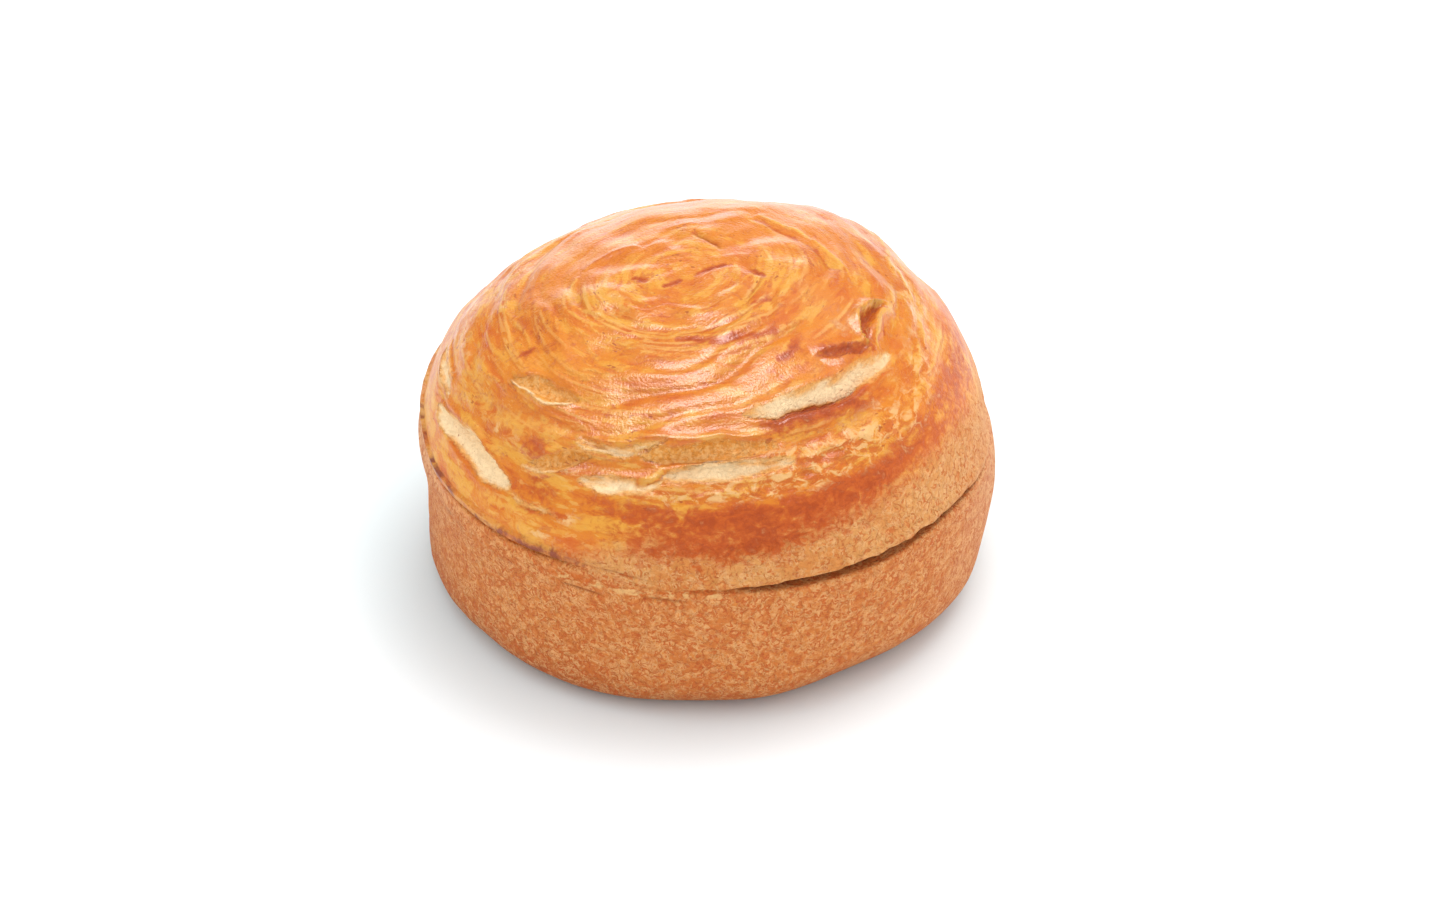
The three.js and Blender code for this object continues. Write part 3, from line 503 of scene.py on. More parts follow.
def crust_fields(turn, rise):
    """Relief in mm and the colour fields of the crust at a turn and a rise."""
    radius, height = on_crust(rise, turn)
    angle = np.radians(turn)
    x, y = radius * np.sin(angle), -radius * np.cos(angle)
    points = np.stack([x, y, height], -1)
    away = swirl_place(x, y)[0]
    centre = smooth(0, WAVES_TO, radius)
    on_dome = smooth(*ON_DOME, rise - SEAM_RISE)

    # edges wander a little, so that nothing torn runs straight
    torn_rise = rise + mixed_noise(points, TORN_RISE) * on_dome
    torn_turn = turn + mixed_noise(points, TORN_TURN) * on_dome

    # thin layers that wind round the swirl; winding is the way outwards over the dome
    winding = TOP_RISE - rise + (away - radius) * smooth(*WIND_RISE, rise)
    winding = winding + mixed_noise(points, UNEVEN_WINDING)
    further = SMOOTH_LEFT * np.maximum(SMOOTH_X - x, 0)
    smoother = SMOOTH_LOSS * smooth(*SMOOTH_Y, y + further) * smooth(*SMOOTH_RISE, rise)
    calm = patches(turn, rise, CALM)
    # calm lowers the colour contrast where the highlight falls: painted sheen
    busy = (1 - smoother) * (1 - SIDE_LOSS * span(turn, SIDE_TURNS)) * (1 - calm)
    coil = smooth(*COIL_AWAY, away) * smooth(*COIL_RISE, rise) * busy
    stepped, edge, edge_shown = layer_edges(x, y, winding + mixed_noise(points, UNEVEN_EDGES))

    flaky = patches(turn, rise, FLAKY)
    broad_flakes = np.abs(noise(points * FLAKE_STRETCH, FLAKE_SIZES[0], 31))
    flakes = 1 - 2 * broad_flakes - np.abs(noise(points, FLAKE_SIZES[1], 32))
    lumpy = mixed_noise(points, LUMPY) * smooth(*LUMPY_RISE, rise)
    folds = mixed_noise(points, FOLDS) * smooth(*FOLDS_RISE, rise) * busy
    relief = (uneven(turn, rise) + coil_ridges(turn, rise, x, y) * (1 - smoother) + folds) * centre
    relief = relief + stepped * coil + FLAKE_HEIGHT * flaky * flakes * on_dome + lumpy
    relief = relief + patches(turn, rise, LUMPS)

    cream = np.full(x.shape, OUTSIDE)
    tan = np.full(x.shape, OUTSIDE)
    dark = np.zeros(x.shape)
    yellow = patches(turn, rise, YELLOWING)
    # pale is painted sheen at the sides; rich is deeper golden glaze
    pale, rich = patches(turn, rise, SIDE_SHEEN), patches(turn, rise, RICH)
    level = rise + mixed_noise(points, UNEVEN_BAND)
    band = smooth(*BAND_FADES_LOW, level - np.interp(turn, BAND_TURNS, BAND_LOWER))
    band = band * (1 - smooth(*BAND_FADES_HIGH, level - np.interp(turn, BAND_TURNS, BAND_UPPER)))
    brown = patches(turn, rise, BROWNING) + band * np.interp(turn, BAND_TURNS, BAND_AMOUNTS)
    bend = RIPPLE_BEND * noise(points, 4.0, 51) + RIPPLE_LEAN * rise
    ripple = RIPPLE * np.sin(np.radians(turn) * RIPPLE_WAVES + bend) * noise(points, 6.0, 52)
    for tear in TEARS:
        part, inside = tear_parts(tear, torn_turn, torn_rise)
        relief = relief + part + ripple * smooth(*RIPPLE_INSIDE, inside)
        cream = np.maximum(cream, fresh_dough(inside, tear[7]))
        tan = np.maximum(tan, fresh_dough(inside, tear[8]))
    shares = [(stroke_share(torn_turn, torn_rise, *row[:4]), row[4:]) for row in STROKES]
    bent_x, bent_y = x + mixed_noise(points, BENT_X), y + mixed_noise(points, BENT_Y)
    shares += [(top_stroke_share(bent_x, bent_y, *row[:4]), row[4:]) for row in TOP_STROKES]
    hidden = np.zeros(x.shape)
    for share, (lift, darkens, browns, bares, yellows) in shares:
        relief = relief + lift * share
        dark = np.maximum(dark, darkens * share)
        brown = brown + browns * share
        if bares > 0:
            cream = np.maximum(cream, (share * bares - BARES_FROM) * BARES_BY)
        hidden = np.maximum(hidden, -bares * share)
        yellow = np.maximum(yellow, yellows * share)
    cream = cream - HIDES_BY * hidden

    wash = rise - np.interp(turn, WASH_TURNS, WASH_ENDS) + mixed_noise(points, UNEVEN_WASH)
    plums = [amount * stroke_share(torn_turn, rise, *row) for *row, amount in PLUM_STROKES]
    plum = np.max(plums, axis=0) * (PLUM_EVEN + mixed_noise(points, UNEVEN_PLUM))
    fields = dict(cream=cream, tan=tan, dark=dark, brown=brown, yellow=yellow, wash=wash)
    fields.update(plum=plum, pale=pale, rich=rich, coil=coil, flaky=flaky, busy=busy)
    fields.update(winding=np.hypot(winding, WIND_CORE))
    fields.update(edge=edge, edge_shown=edge_shown * coil, above=rise - SEAM_RISE - seam_climb(turn))
    return relief, fields


# The bun's own surface
def seam_rows():
    """The seam profile as a smooth curve through its points, sampled evenly: between b and c,
    with a before and d after, half of 2b + (c-a)s + (2a-5b+4c-d)s^2 + (3b-a-3c+d)s^3."""
    knots = np.array(SEAM_PROFILE)
    knots = np.vstack([2 * knots[0] - knots[1], knots, 2 * knots[-1] - knots[-2]])
    at = np.linspace(0, len(SEAM_PROFILE) - 1, SEAM_ROWS)
    k = np.minimum(at.astype(int), len(SEAM_PROFILE) - 2)
    s = (at - k)[:, None]
    a, b, c, d = (knots[k + step] for step in range(4))
    square, cube = 2 * a - 5 * b + 4 * c - d, 3 * b - a - 3 * c + d
    return 0.5 * (2 * b + (c - a) * s + square * s**2 + cube * s**3)


def zone_rows(zones):
    """The rise of the rows of a part, evenly spaced in each of its zones."""
    rows = [np.linspace(a, b, n, endpoint=False) for a, b, n in zones]
    return np.append(np.concatenate(rows), zones[-1][1])


def bun_surface():
    """Rows of points from the underside over wall, seam and dome, with the colour fields. Each
    point is the even profile's, moved out along the profile's normal by the relief, and then
    the dome leans and shifts a little and the wall leans."""
    turn = (np.arange(COLUMNS) / COLUMNS * 360 + 180) % 360 - 180
    turn = turn[None, :]
    wall, seam, dome = zone_rows(WALL_ZONES), seam_rows(), zone_rows(DOME_ZONES)
    base_rise = np.concatenate([wall, np.full(SEAM_ROWS, SEAM_RISE), dome])[:, None]

    below = np.minimum(base_rise / SEAM_RISE, 1)
    above = 1 - smooth(0, SEAM_CLIMB_REACH, base_rise - SEAM_RISE)
    rise = base_rise + seam_climb(turn) * below * below * above
    turns = np.broadcast_to(turn, rise.shape)
    rows = slice(len(wall), len(wall) + SEAM_ROWS)
    s_out, s_up, s_in, s_drop, s_raised = (seam[:, k, None] for k in range(5))
    shown = rise.copy()
    shown[rows] += s_up
    relief, fields = crust_fields(turns, shown)
    relief = relief * smooth(*RELIEF_STARTS, rise)
    radius, height = on_crust(rise, turns)
    r0, z0 = on_crust(np.maximum(rise - NORMAL_STEP, 0), turns)
    r1, z1 = on_crust(np.minimum(rise + NORMAL_STEP, TOP_RISE), turns)
    length = np.hypot(r1 - r0, z1 - z0)
    out = radius + relief * (z1 - z0) / length
    up = height + relief * (r0 - r1) / length

    # the seam's own rows: the lip is ragged where the gap is open
    gap = span(turn, GAP_TURNS)
    angle = np.radians(turns[rows])
    at = np.stack([SEAM_RADIUS * np.sin(angle), -SEAM_RADIUS * np.cos(angle), 0 * angle], -1)
    open_share = CLOSED_RAG + (1 - CLOSED_RAG) * gap
    ragged = mixed_noise(at, SEAM_RAG) * open_share * smooth(*RAG_STARTS, s_up)
    lift = s_up + ragged + (s_raised * GAP_HEIGHT - s_drop * GAP_DROP) * gap
    depth = s_in * seam_depth(turn) * (1 + mixed_noise(at, SEAM_TORN))
    out[rows] = radius[rows] + relief[rows] - depth
    ledge = CLOSED_LEDGE + (1 - CLOSED_LEDGE) * gap
    out[rows] += s_out * ledge * (1 - LEDGE_LOSS * span(turn, LEDGE_LOSS_TURNS))
    up[rows] = height[rows] + lift
    fields["above"][rows] = lift
    # painted shade: a dark line in the seam's gap and along its creases, laid into the dark field
    strength, over, reach = SEAM_CREASE
    crease = strength * bell(s_up - over, reach) * (1 - GAP_CREASE_LOSS * gap)
    strength, over, reach = LEFT_CREASE
    crease = crease + strength * bell(s_up - over, reach) * span(turn, LEFT_CREASE_TURNS)
    faint = FRONT_FAINT * span(turn, FRONT_FAINT_TURNS) * (FAINT_EVEN + mixed_noise(at, SEAM_FAINT))
    left = 1 - LEFT_FAINT * span(turn, LEFT_FAINT_TURNS)
    line = (np.clip(s_in, 0, 1) * SEAM_SHADE + crease) * (1 - faint) * left
    fields["dark"][rows] = np.maximum(fields["dark"][rows], line)

    # underside: flat rings out to the edge
    share = (np.arange(1, UNDERSIDE_ROWS + 1) / (UNDERSIDE_ROWS + 1))[:, None]
    flat = np.broadcast_to(share * out[:1], (UNDERSIDE_ROWS, COLUMNS))
    out = np.vstack([flat, out])
    up = np.vstack([np.zeros_like(flat), up])
    for name, field in fields.items():
        fields[name] = np.vstack([np.repeat(field[:1], UNDERSIDE_ROWS, 0), field])

    x, y = out * np.sin(np.radians(turn)), -out * np.cos(np.radians(turn))
    lifted = np.clip((up - SEAM_HEIGHT) / (TOP_HEIGHT - SEAM_HEIGHT), 0, 1)
    side = x / SHOULDER_RADIUS
    wall_lean = sum(way * bell(up - at, reach) for way, at, reach in WALL_LEANS)
    z = up + lifted * (LEAN * side + LEAN_LOSS * side**3)
    return np.stack([x + TOP_SHIFT * lifted + wall_lean, y, z], -1), fields


def placed(name, data):
    """A new object in the scene."""
    made = bpy.data.objects.new(name, data)
    bpy.context.scene.collection.objects.link(made)
    return made


def closed_mesh(name, points, fields):
    """A grid of points, closed round in each row, with one point at either end. Point k of row i
    joins its neighbours k + 1 and row i + 1, so that every face looks outwards."""
    rows, columns = points.shape[:2]
    first = np.array([[0.0, 0.0, 0.0]])
    last = np.array([[TOP_SHIFT, 0.0, points[-1, :, 2].mean() + TOP_POINT]])
    places = np.vstack([first, points.reshape(-1, 3), last]) * MM
    i, k = np.meshgrid(np.arange(rows - 1), np.arange(columns), indexing="ij")
    here = 1 + i * columns + k
    beside = 1 + i * columns + (k + 1) % columns
    quads = np.stack([here, beside, beside + columns, here + columns], -1).reshape(-1, 4)
    k = np.arange(columns)
    turned = (k + 1) % columns
    start = 1 + (rows - 1) * columns
    under = np.stack([0 * k, 1 + turned, 1 + k], -1)
    over = np.stack([start + k, start + turned, 0 * k + len(places) - 1], -1)
    mesh = bpy.data.meshes.new(name)
    mesh.from_pydata(places, [], [*quads.tolist(), *under.tolist(), *over.tolist()])
    mesh.shade_smooth()
    for field, values in fields.items():
        made = mesh.attributes.new(field, "FLOAT", "POINT")
        ends = values[0].mean(), values[-1].mean()
        made.data.foreach_set("value", np.concatenate([[ends[0]], values.ravel(), [ends[1]]]))
    mesh.validate()
    return placed(name, mesh)


# Materials
# Tones of the crust, as sRGB. Of these, crevice is painted shade, side is painted sheen, and foot and
# tan are partly painted shade
CRUST = {
    "deep orange": "#ce6318", "orange": "#d87d20", "gold": "#de962f", "pale gold": "#e5b162",
    "yellow": "#e4a544", "rich gold": "#e0871a", "brown": "#be531a", "dark brown": "#a44014",
    "speck": "#a7481e", "flake": "#e8b575", "flake shade": "#c96425", "crevice": "#742c10",
    "cream": "#ffdfaf", "cream shade": "#f3b060", "tan": "#e2953f", "tan pale": "#efb268",
    "plum": "#944a30", "foot": "#b45e2b", "side": "#eec299", "matt gold": "#d58947",
    "matt pale": "#db9958", "wall": "#d48341", "wall dark": "#c56730", "wall pale": "#e4ae75",
    "wall spot": "#b64a24",
}
# Noises: size in mm, detail, roughness and twist. The wound ones lie along the layers of the
# coil, about three times as long as wide
WOUND_NOISES = {"sheets": (3.2, 3.5, 0.6, 0.3), "strands": (1.3, 3.0, 0.6, 0.2), "gaps": (4.2, 2.0)}
WOUND_STRETCH = (0.36, 0.36, 0.0)
EVEN_NOISES = {
    "grit": (0.45, 2.0), "fine": (0.9, 3.0, 0.6), "curls": (1.15, 3.0, 0.6, 1.4),
    "mottle": (2.4, 3.0, 0.6, 0.9), "broad": (11.0, 2.0),
}
LEAVES, LEAF_STRETCH = (1.9, 4.0, 0.66, 0.6), (0.7, 0.7, 1.4)
SPECKS, SPECK_STRETCH = (0.6, 1.0), (1.0, 1.0, 0.7)
# The washed dome's main tones over deep orange: tone, and where on their noise they start and are full
DOME_TONES = (("orange", -0.2, -0.03), ("gold", 0.0, 0.13), ("pale gold", 0.2, 0.34))
# Tones laid over the colour below them: tone, strength, the mask that it keeps inside, the noise
# that places it, and where on that noise it starts and is full
WASH_TONES = (
    ("yellow", 0.4, "busy", "sheets", 0.55, 0.57),
    ("deep orange", 0.4, "busy", "sheets", 0.45, 0.43),
    ("pale gold", 0.4, "busy", "strands", 0.61, 0.635),
    ("brown", 0.45, "busy", "strands", 0.385, 0.36),
    # pale edges of the open layers, and painted shadow in brown just outside them
    ("pale gold", 0.25, "thin pale line"), ("brown", 0.2, "thin shadow line"),
    ("pale gold", 0.55, "pale line"), ("brown", 0.4, "shadow line"), ("rich gold", 0.8, "rich"),
    ("yellow", 0.85, None, "yellow", 0.25, 0.6), ("pale gold", 0.7, None, "yellow", 0.55, 0.9),
)
WALL_TONES = (
    ("wall dark", 0.5, None, "mottle", 0.54, 0.4), ("wall dark", 0.45, None, "curls", 0.46, 0.38),
    ("wall pale", 0.65, "flecks", "mottle", 0.4, 0.58), ("wall pale", 0.4, None, "fine", 0.56, 0.64),
    ("wall spot", 0.55, "rings"), ("wall spot", 0.5, None, "fine", 0.4, 0.33),
)
MATT_TONES = (
    ("wall dark", 0.7, None, "curls", 0.47, 0.38), ("wall spot", 0.5, None, "fine", 0.42, 0.34),
    ("wall pale", 0.75, "flecks", "mottle", 0.42, 0.56),
)
BAKED_TONES = (
    ("brown", 0.95, None, "brown", 0.05, 1.0), ("dark brown", 0.7, None, "brown", 0.85, 1.4),
    ("flake shade", 0.75, "flaking", "leaves", 0.5, 0.42),
    ("flake", 0.9, "flaking", "leaves", 0.48, 0.6),
    # side: painted sheen at the sides, where the pale field is
    ("side", 0.9, "pale", "curls", 0.3, 0.6), ("plum", 1.0, None, "plum", 0.15, 0.7),
)
# The wall reddens and darkens down to the foot, partly browner crust and partly painted shade
# of the undercut foot, and the matt crust starts at the seam: mm above the seam
FOOT_BROWNING_AND_SHADE, MATT_STARTS = (-29.5, -16.0), (-1.0, 2.0)
WASH_FADES = (-3.5, 3.5)  # mm of rise above the end of the egg wash
# Relief too fine for the mesh: height of each noise in mm, on matt crust and on the washed layers
GRAIN_HEIGHTS = {"grit": 0.16, "curls": 0.75, "mottle": 0.4}
LAYER_HEIGHTS = {
    "sheets": 0.28, "steps": 0.08, "strands": 0.16, "fine": 0.13, "grit": 0.13, "flakes": 0.5,
}
MATT_ROUGHNESS, WASH_SMOOTHS, CRUST_SPECULAR = 0.62, -0.2, 0.12
GLAZE_ROUGHNESS, GLAZE_RELIEF = 0.27, 0.4
GLAZE_LEAST, GLAZE_MORE, GLAZE_THICKENS = 0.3, 0.6, (4.0, 24.0)


def colour(text):
    """A colour written as sRGB hex, in the linear numbers that the shader takes."""
    parts = np.array([int(text[k : k + 2], 16) for k in (1, 3, 5)]) / 255
    linear = np.where(parts <= 0.04045, parts / 12.92, ((parts + 0.055) / 1.055) ** 2.4)
    return (*linear.tolist(), 1.0)


class Shader:
    """Adds nodes to a tree, and links any input that is given another node's output."""

    def __init__(self, tree):
        self.tree = tree

    def add(self, kind, inputs=(), **settings):
        node = self.tree.nodes.new("ShaderNode" + kind)
        for name, value in settings.items():
            setattr(node, name, value)
        for key, value in dict(inputs).items():
            if isinstance(value, bpy.types.NodeSocket):
                self.tree.links.new(value, node.inputs[key])
            else:
                node.inputs[key].default_value = value
        return node

    def field(self, name):
        return self.add("Attribute", attribute_name=name).outputs["Fac"]

    def math(self, operation, a, b=0.0, c=0.0):
        return self.add("Math", {0: a, 1: b, 2: c}, operation=operation).outputs[0]

    def ramp(self, value, low, high):
        inputs = {"Value": value, "From Min": low, "From Max": high}
        return self.add("MapRange", inputs, interpolation_type="SMOOTHSTEP").outputs["Result"]

    def mix(self, share, a, b):
        return self.add("Mix", {0: share, 6: a, 7: b}, data_type="RGBA").outputs[2]

    def noise(self, place, size, detail=2.0, roughness=0.55, twist=0.0):
        inputs = {"Vector": place, "Scale": 1 / size, "Detail": detail, "Roughness": roughness}
        inputs["Distortion"] = twist
        return self.add("TexNoise", inputs).outputs["Fac"]

    def line(self, value, middle, half):
        """1 where the value is at the middle, falling to 0 half a width away."""
        off = self.math("ABSOLUTE", self.math("SUBTRACT", value, middle))
        return self.math("SUBTRACT", 1.0, self.ramp(off, half * 0.25, half))

    def stirred(self, value, noise, width):
        """The value plus the noise's distance from its mean, times the width."""
        return self.math("ADD", value, self.math("MULTIPLY_ADD", noise, width, -width / 2))

    def over(self, under, tone, amount, *shares):
        """A tone laid over a colour, as strong as the amount times the shares."""
        for share in shares:
            amount = self.math("MULTIPLY", share, amount)
        return self.mix(amount, under, tone)

    def laid(self, under, rows, tones, masks):
        """Tones laid over a colour one after the other, as the rows say."""
        for name, amount, mask, *at in rows:
            shares = [masks[mask]] if mask else []
            shares += [self.ramp(masks[at[0]], *at[1:])] if at else []
            under = self.over(under, tones[name], amount, *shares)
        return under

    def total(self, masks, heights):
        """Sum of noises, each times its height."""
        amount = 0.0
        for name, height in heights.items():
            amount = self.math("MULTIPLY_ADD", masks[name], height, amount)
        return amount

    def scaled(self, place, factors):
        return self.add("VectorMath", {0: place, 1: factors}, operation="MULTIPLY").outputs[0]


def crust_masks(s):
    """The noises, lines and fields that place the tones and the fine relief, by name."""
    place = s.scaled(s.add("TexCoord").outputs["Object"], (1 / MM,) * 3)
    winding = s.field("winding")
    wound = s.add("CombineXYZ", {2: winding}).outputs[0]
    lay = s.add("VectorMath", {0: s.scaled(place, WOUND_STRETCH), 1: wound}).outputs[0]
    m = {name: s.noise(lay, *values) for name, values in WOUND_NOISES.items()}
    m.update({name: s.noise(place, *values) for name, values in EVEN_NOISES.items()})
    m["leaves"] = s.noise(s.scaled(place, LEAF_STRETCH), *LEAVES)
    m["flecks"], m["rings"] = s.line(m["curls"], 0.52, 0.09), s.line(m["curls"], 0.41, 0.05)
    specks = s.ramp(s.noise(s.scaled(lay, SPECK_STRETCH), *SPECKS), 0.68, 0.74)
    m["specks"] = s.math("MULTIPLY", specks, s.ramp(m["broad"], 0.47, 0.6))

    # open layer edges, from the mesh and from noise: a pale line with a dark line of painted shadow
    # outside it
    edge = s.stirred(s.field("edge"), m["fine"], 0.6)
    shown = s.ramp(s.stirred(s.field("edge_shown"), m["fine"], 0.48), 0.15, 0.55)
    m["pale line"] = s.math("MULTIPLY", s.line(edge, -0.25, 0.5), shown)
    m["shadow line"] = s.math("MULTIPLY", s.line(edge, 0.4, 0.42), shown)
    turns = s.math("MULTIPLY_ADD", winding, 0.25, m["strands"])
    step = s.math("FRACT", s.math("MULTIPLY_ADD", m["sheets"], 6.0, turns))
    broken = s.math("MULTIPLY", s.ramp(m["gaps"], 0.44, 0.6), s.field("coil"))
    m["steps"] = s.math("MULTIPLY", step, broken)
    m["busy"] = s.field("busy")
    # thin pale edges of the stepped layers, with painted shadow just outside them
    thin = s.math("MULTIPLY", broken, m["busy"])
    m["thin pale line"] = s.math("MULTIPLY", s.line(step, 0.88, 0.1), thin)
    m["thin shadow line"] = s.math("MULTIPLY", s.line(step, 0.06, 0.1), thin)

    # fields of the mesh, stirred so that their edges are uneven
    m["rich"], m["pale"] = s.field("rich"), s.field("pale")
    m["yellow"] = s.stirred(s.field("yellow"), m["mottle"], 1.2)
    m["brown"] = s.stirred(s.stirred(s.field("brown"), m["mottle"], 2.0), m["leaves"], 2.2)
    flaky = s.field("flaky")
    m["flaking"] = s.ramp(s.stirred(flaky, m["mottle"], 1.4), 0.1, 0.7)
    m["flakes"] = s.math("MULTIPLY", flaky, m["leaves"])
    m["plum"] = s.math("MULTIPLY", s.field("plum"), s.math("MULTIPLY_ADD", m["mottle"], 2.4, -0.4))
    return m


def crust_material():
    """Glossy egg-washed dome, matt grained wall, and fresh dough in the tears."""
    material = bpy.data.materials.new("baked crust")
    material.use_nodes = True
    tree = material.node_tree
    tree.nodes.clear()
    s = Shader(tree)
    tone = {name: colour(text) for name, text in CRUST.items()}
    m = crust_masks(s)
    fine = m["fine"]

    # washed dome: orange to pale gold, in patches with edges as of watercolour
    value = s.stirred(s.stirred(s.stirred(0.0, m["sheets"], 0.9), m["strands"], 0.45), m["broad"], 0.5)
    value = s.math("MULTIPLY", value, s.math("MULTIPLY_ADD", m["busy"], 0.65, 0.35))
    dome = tone["deep orange"]
    for name, start, full in DOME_TONES:
        dome = s.mix(s.ramp(value, start, full), dome, tone[name])
    dome = s.laid(dome, WASH_TONES, tone, m)

    # matt crust: the wall, redder and darker at the foot (partly painted shade), and the foot of the
    # dome over the seam
    above = s.field("above")
    wall = s.mix(s.ramp(above, *FOOT_BROWNING_AND_SHADE), tone["foot"], tone["wall"])
    wall = s.laid(wall, WALL_TONES, tone, m)
    matt = s.mix(s.ramp(m["broad"], 0.35, 0.65), tone["matt gold"], tone["matt pale"])
    matt = s.laid(matt, MATT_TONES, tone, m)
    matt = s.mix(s.ramp(s.stirred(above, fine, 2.56), *MATT_STARTS), wall, matt)
    wash = s.field("wash")
    washed = s.ramp(s.stirred(s.stirred(wash, m["mottle"], 8.0), fine, 4.0), *WASH_FADES)
    base = s.laid(s.mix(washed, matt, dome), BAKED_TONES, tone, m)

    # fresh dough (its tan pockets and the cream shade at the tears' edges partly painted shade),
    # specks, and painted shade in crevices
    # the tan tone is partly painted shade under the overhanging layer
    tanned = s.ramp(s.stirred(s.field("tan"), fine, 0.8), -0.15, 0.55)
    base = s.mix(tanned, base, s.mix(s.ramp(fine, 0.4, 0.62), tone["tan"], tone["tan pale"]))
    cream = s.field("cream")
    bare = s.ramp(s.stirred(cream, fine, 1.28), -0.5, 0.35)
    inner = s.stirred(s.stirred(cream, m["sheets"], 3.0), m["strands"], 3.0)
    base = s.mix(bare, base, s.mix(s.ramp(inner, -0.4, 1.1), tone["cream shade"], tone["cream"]))
    base = s.over(base, tone["speck"], 0.7, washed, m["specks"])
    # painted shade: the dark field darkens crevices, creases and the seam's gap towards the crevice
    # tone
    shade = s.math("MULTIPLY", s.field("dark"), s.math("MULTIPLY_ADD", fine, 0.8, 0.6))
    base = s.mix(s.ramp(shade, 0.15, 1.0), base, tone["crevice"])

    # gloss, where the dough isn't bare, and relief
    fresh = s.math("MAXIMUM", bare, tanned)
    glazed = s.math("MULTIPLY", washed, s.math("MULTIPLY_ADD", fresh, -0.9, 1.0))
    relief = {0: glazed, 2: s.total(m, GRAIN_HEIGHTS), 3: s.total(m, LAYER_HEIGHTS)}
    height = s.add("Mix", relief).outputs[0]
    bump = s.add("Bump", {"Height": height, "Strength": 1.0, "Distance": MM}).outputs[0]
    skin = s.add("Bump", {"Height": height, "Strength": GLAZE_RELIEF, "Distance": MM}).outputs[0]
    thick = s.math("MULTIPLY_ADD", s.ramp(wash, *GLAZE_THICKENS), GLAZE_MORE, GLAZE_LEAST)
    shader = s.add("BsdfPrincipled", {
        "Base Color": base, "Roughness": s.math("MULTIPLY_ADD", glazed, WASH_SMOOTHS, MATT_ROUGHNESS),
        "Normal": bump, "Coat Weight": s.math("MULTIPLY", glazed, thick), "Coat Normal": skin,
        "Coat Roughness": GLAZE_ROUGHNESS, "Specular IOR Level": CRUST_SPECULAR,
    })
    out = s.add("OutputMaterial", {"Surface": shader.outputs[0]})
    out.is_active_output = True
    return material


# Light, floor and camera
# Soft white surroundings: even light, a little more from the side the photo's light comes from
SKY_EVEN, SKY_MORE, SKY_FROM = 1.146, 0.18, (0.35, 0.6, 0.72)
# What the glaze mirrors: dark overhead, bright low behind. Where on each axis that starts and is full
GLOSS_EVEN, GLOSS_BEHIND = 0.04, 3.6
GLOSS_BACK, GLOSS_LOW, GLOSS_SIDE, GLOSS_MIDDLE = (0.7, 0.99), (0.4, 0.05), (0.4, 0.05), -0.05
SOFTBOXES = (  # place in metres, size in metres, power in watts, lights the crust, shows in the glaze
    ("key softbox", (0.3, 0.45, 0.95), (0.8, 0.8), 5.2, True, False),
    ("overhead softbox", (-0.06, -0.2, 0.9), (0.66, 0.46), 12.5, False, True),
    ("right softbox", (0.72, -0.1, 0.2), (0.3, 0.25), 0.12, False, True),
)
# The floor is cooler and a little darker near the bun, painted to cancel the warm light that the bun
# throws on it
FLOOR_NEAR, FLOOR_FAR = (0.74, 0.84, 0.87, 1.0), (0.9, 0.93, 0.94, 1.0)
# The floor whitens between these distances from its middle, in metres. Half its width, and what
# the lights are aimed at
FLOOR_MIDDLE, FLOOR_WHITENS = (-0.008, 0.014, 0.0), (0.05, 0.085)
FLOOR_HALF, LIGHTS_AIM = 3.0, (0.0, 0.0, 0.03)
# Camera: lens and width of its picture in mm, place and aim in metres
LENS, PICTURE_WIDTH = 81.51, 36.0
CAMERA_PLACE, CAMERA_AIM = (0.0, -0.49742, 0.36552), (0.00289, -0.00355, 0.02474)


def softbox(name, at, size, power, lights, shows):
    """A soft rectangular light, aimed at the bun."""
    data = bpy.data.lights.new(name, "AREA")
    data.shape = "RECTANGLE"
    data.size, data.size_y = size
    data.energy = power
    light = placed(name, data)
    light.location = at
    light.rotation_euler = (Vector(LIGHTS_AIM) - Vector(at)).to_track_quat("-Z", "Y").to_euler()
    light.visible_diffuse, light.visible_glossy = lights, shows


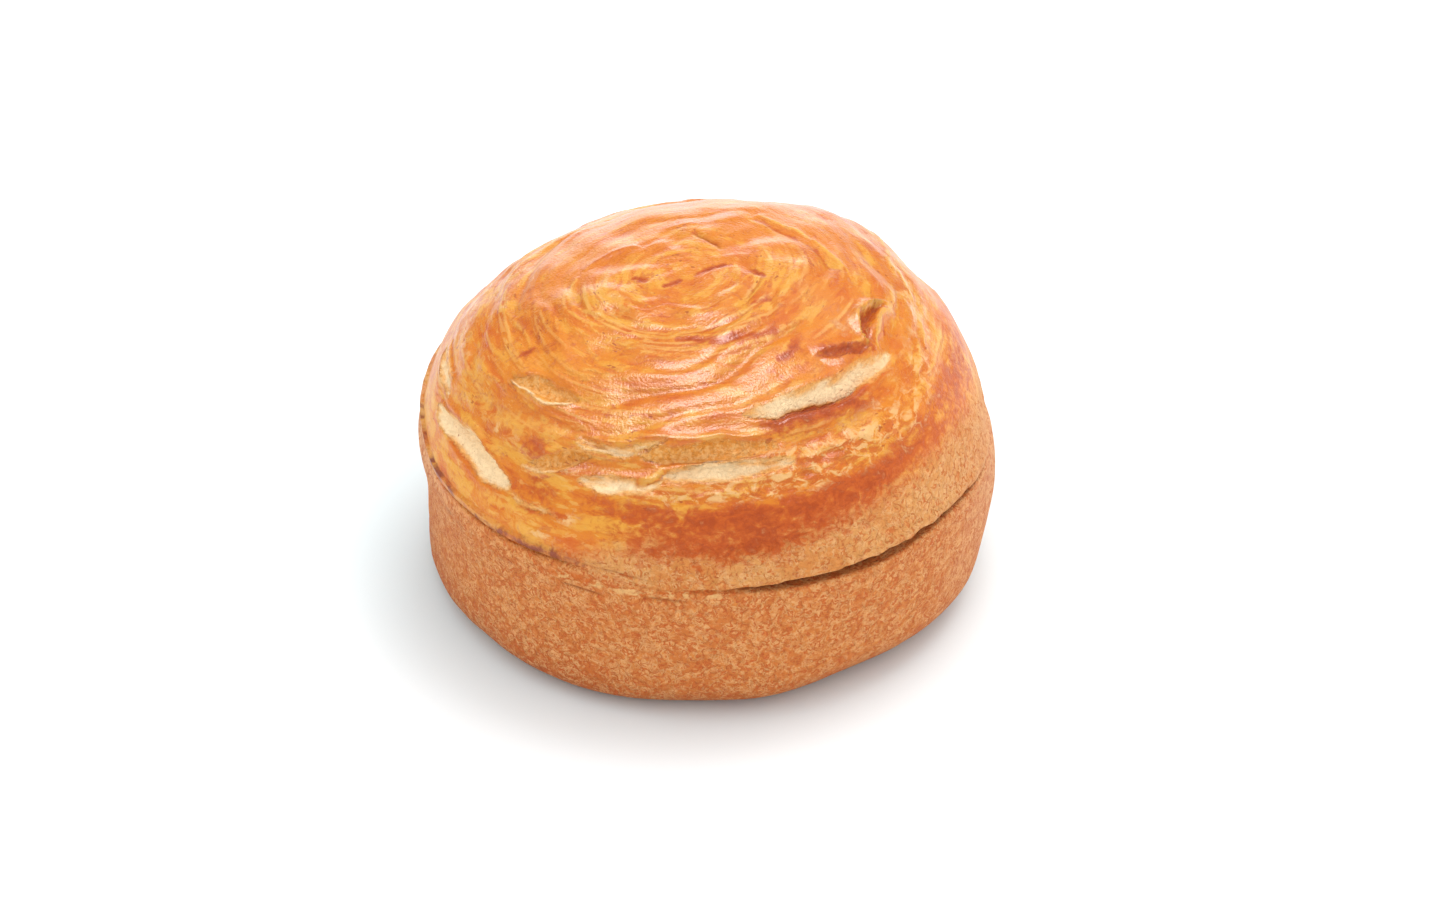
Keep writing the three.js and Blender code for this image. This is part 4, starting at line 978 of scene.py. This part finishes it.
def white_world():
    """Surroundings that the camera sees as plain white, and that light the bun softly."""
    world = bpy.data.worlds.new("white studio")
    world.use_nodes = True
    tree = world.node_tree
    s = Shader(tree)
    towards = s.add("TexCoord").outputs["Generated"]
    parts = s.add("SeparateXYZ", {0: towards}).outputs
    facing = s.add("VectorMath", {0: towards, 1: SKY_FROM}, operation="DOT_PRODUCT").outputs["Value"]
    even = s.math("MULTIPLY_ADD", facing, SKY_MORE, SKY_EVEN)
    aside = s.math("ABSOLUTE", s.math("SUBTRACT", parts[0], GLOSS_MIDDLE))
    behind = s.math("MULTIPLY", s.ramp(parts[1], *GLOSS_BACK), s.ramp(parts[2], *GLOSS_LOW))
    behind = s.math("MULTIPLY", behind, s.ramp(aside, *GLOSS_SIDE))
    mirrored = s.math("MULTIPLY_ADD", behind, GLOSS_BEHIND, GLOSS_EVEN)
    path = s.add("LightPath").outputs
    strength = s.add("Mix", {0: path["Is Glossy Ray"], 2: even, 3: mirrored}).outputs[0]
    strength = s.add("Mix", {0: path["Is Camera Ray"], 2: strength, 3: 1.0}).outputs[0]
    tree.links.new(strength, tree.nodes["Background"].inputs["Strength"])
    tree.nodes["Background"].inputs["Color"].default_value = (1.0, 1.0, 1.0, 1.0)
    bpy.context.scene.world = world
    bpy.context.scene.view_settings.view_transform = "Standard"


def white_floor():
    """A plain white floor, cooler and a little darker close to the bun, painted to cancel the warm
    light that the bun throws on it.
    """
    half = FLOOR_HALF
    corners = [(-half, -half, 0), (half, -half, 0), (half, half, 0), (-half, half, 0)]
    mesh = bpy.data.meshes.new("floor")
    mesh.from_pydata(corners, [], [(0, 1, 2, 3)])
    floor = placed("floor", mesh)
    paint = bpy.data.materials.new("white floor")
    paint.use_nodes = True
    s = Shader(paint.node_tree)
    place = s.add("TexCoord").outputs["Object"]
    distance = s.add("VectorMath", {0: place, 1: FLOOR_MIDDLE}, operation="DISTANCE")
    away = s.ramp(distance.outputs["Value"], *FLOOR_WHITENS)
    surface = paint.node_tree.nodes["Principled BSDF"]
    paint.node_tree.links.new(s.mix(away, FLOOR_NEAR, FLOOR_FAR), surface.inputs["Base Color"])
    surface.inputs["Roughness"].default_value = 0.9
    surface.inputs["Specular IOR Level"].default_value = 0.0
    mesh.materials.append(paint)


def photo_camera():
    """The camera of the photograph: 34 degrees above the floor, 0.6 m from the bun."""
    data = bpy.data.cameras.new("camera")
    data.sensor_width = PICTURE_WIDTH
    data.lens = LENS
    data.dof.use_dof = False
    camera = placed("camera", data)
    camera.location = CAMERA_PLACE
    towards = Vector(CAMERA_AIM) - Vector(CAMERA_PLACE)
    camera.rotation_euler = towards.to_track_quat("-Z", "Y").to_euler()
    bpy.context.scene.camera = camera


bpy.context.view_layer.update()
photo_camera()
white_world()
white_floor()
for lamp in SOFTBOXES:
    softbox(*lamp)
bun = closed_mesh("crust", *bun_surface())
bun.data.materials.append(crust_material())
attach(bun, "root")
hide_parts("bun")
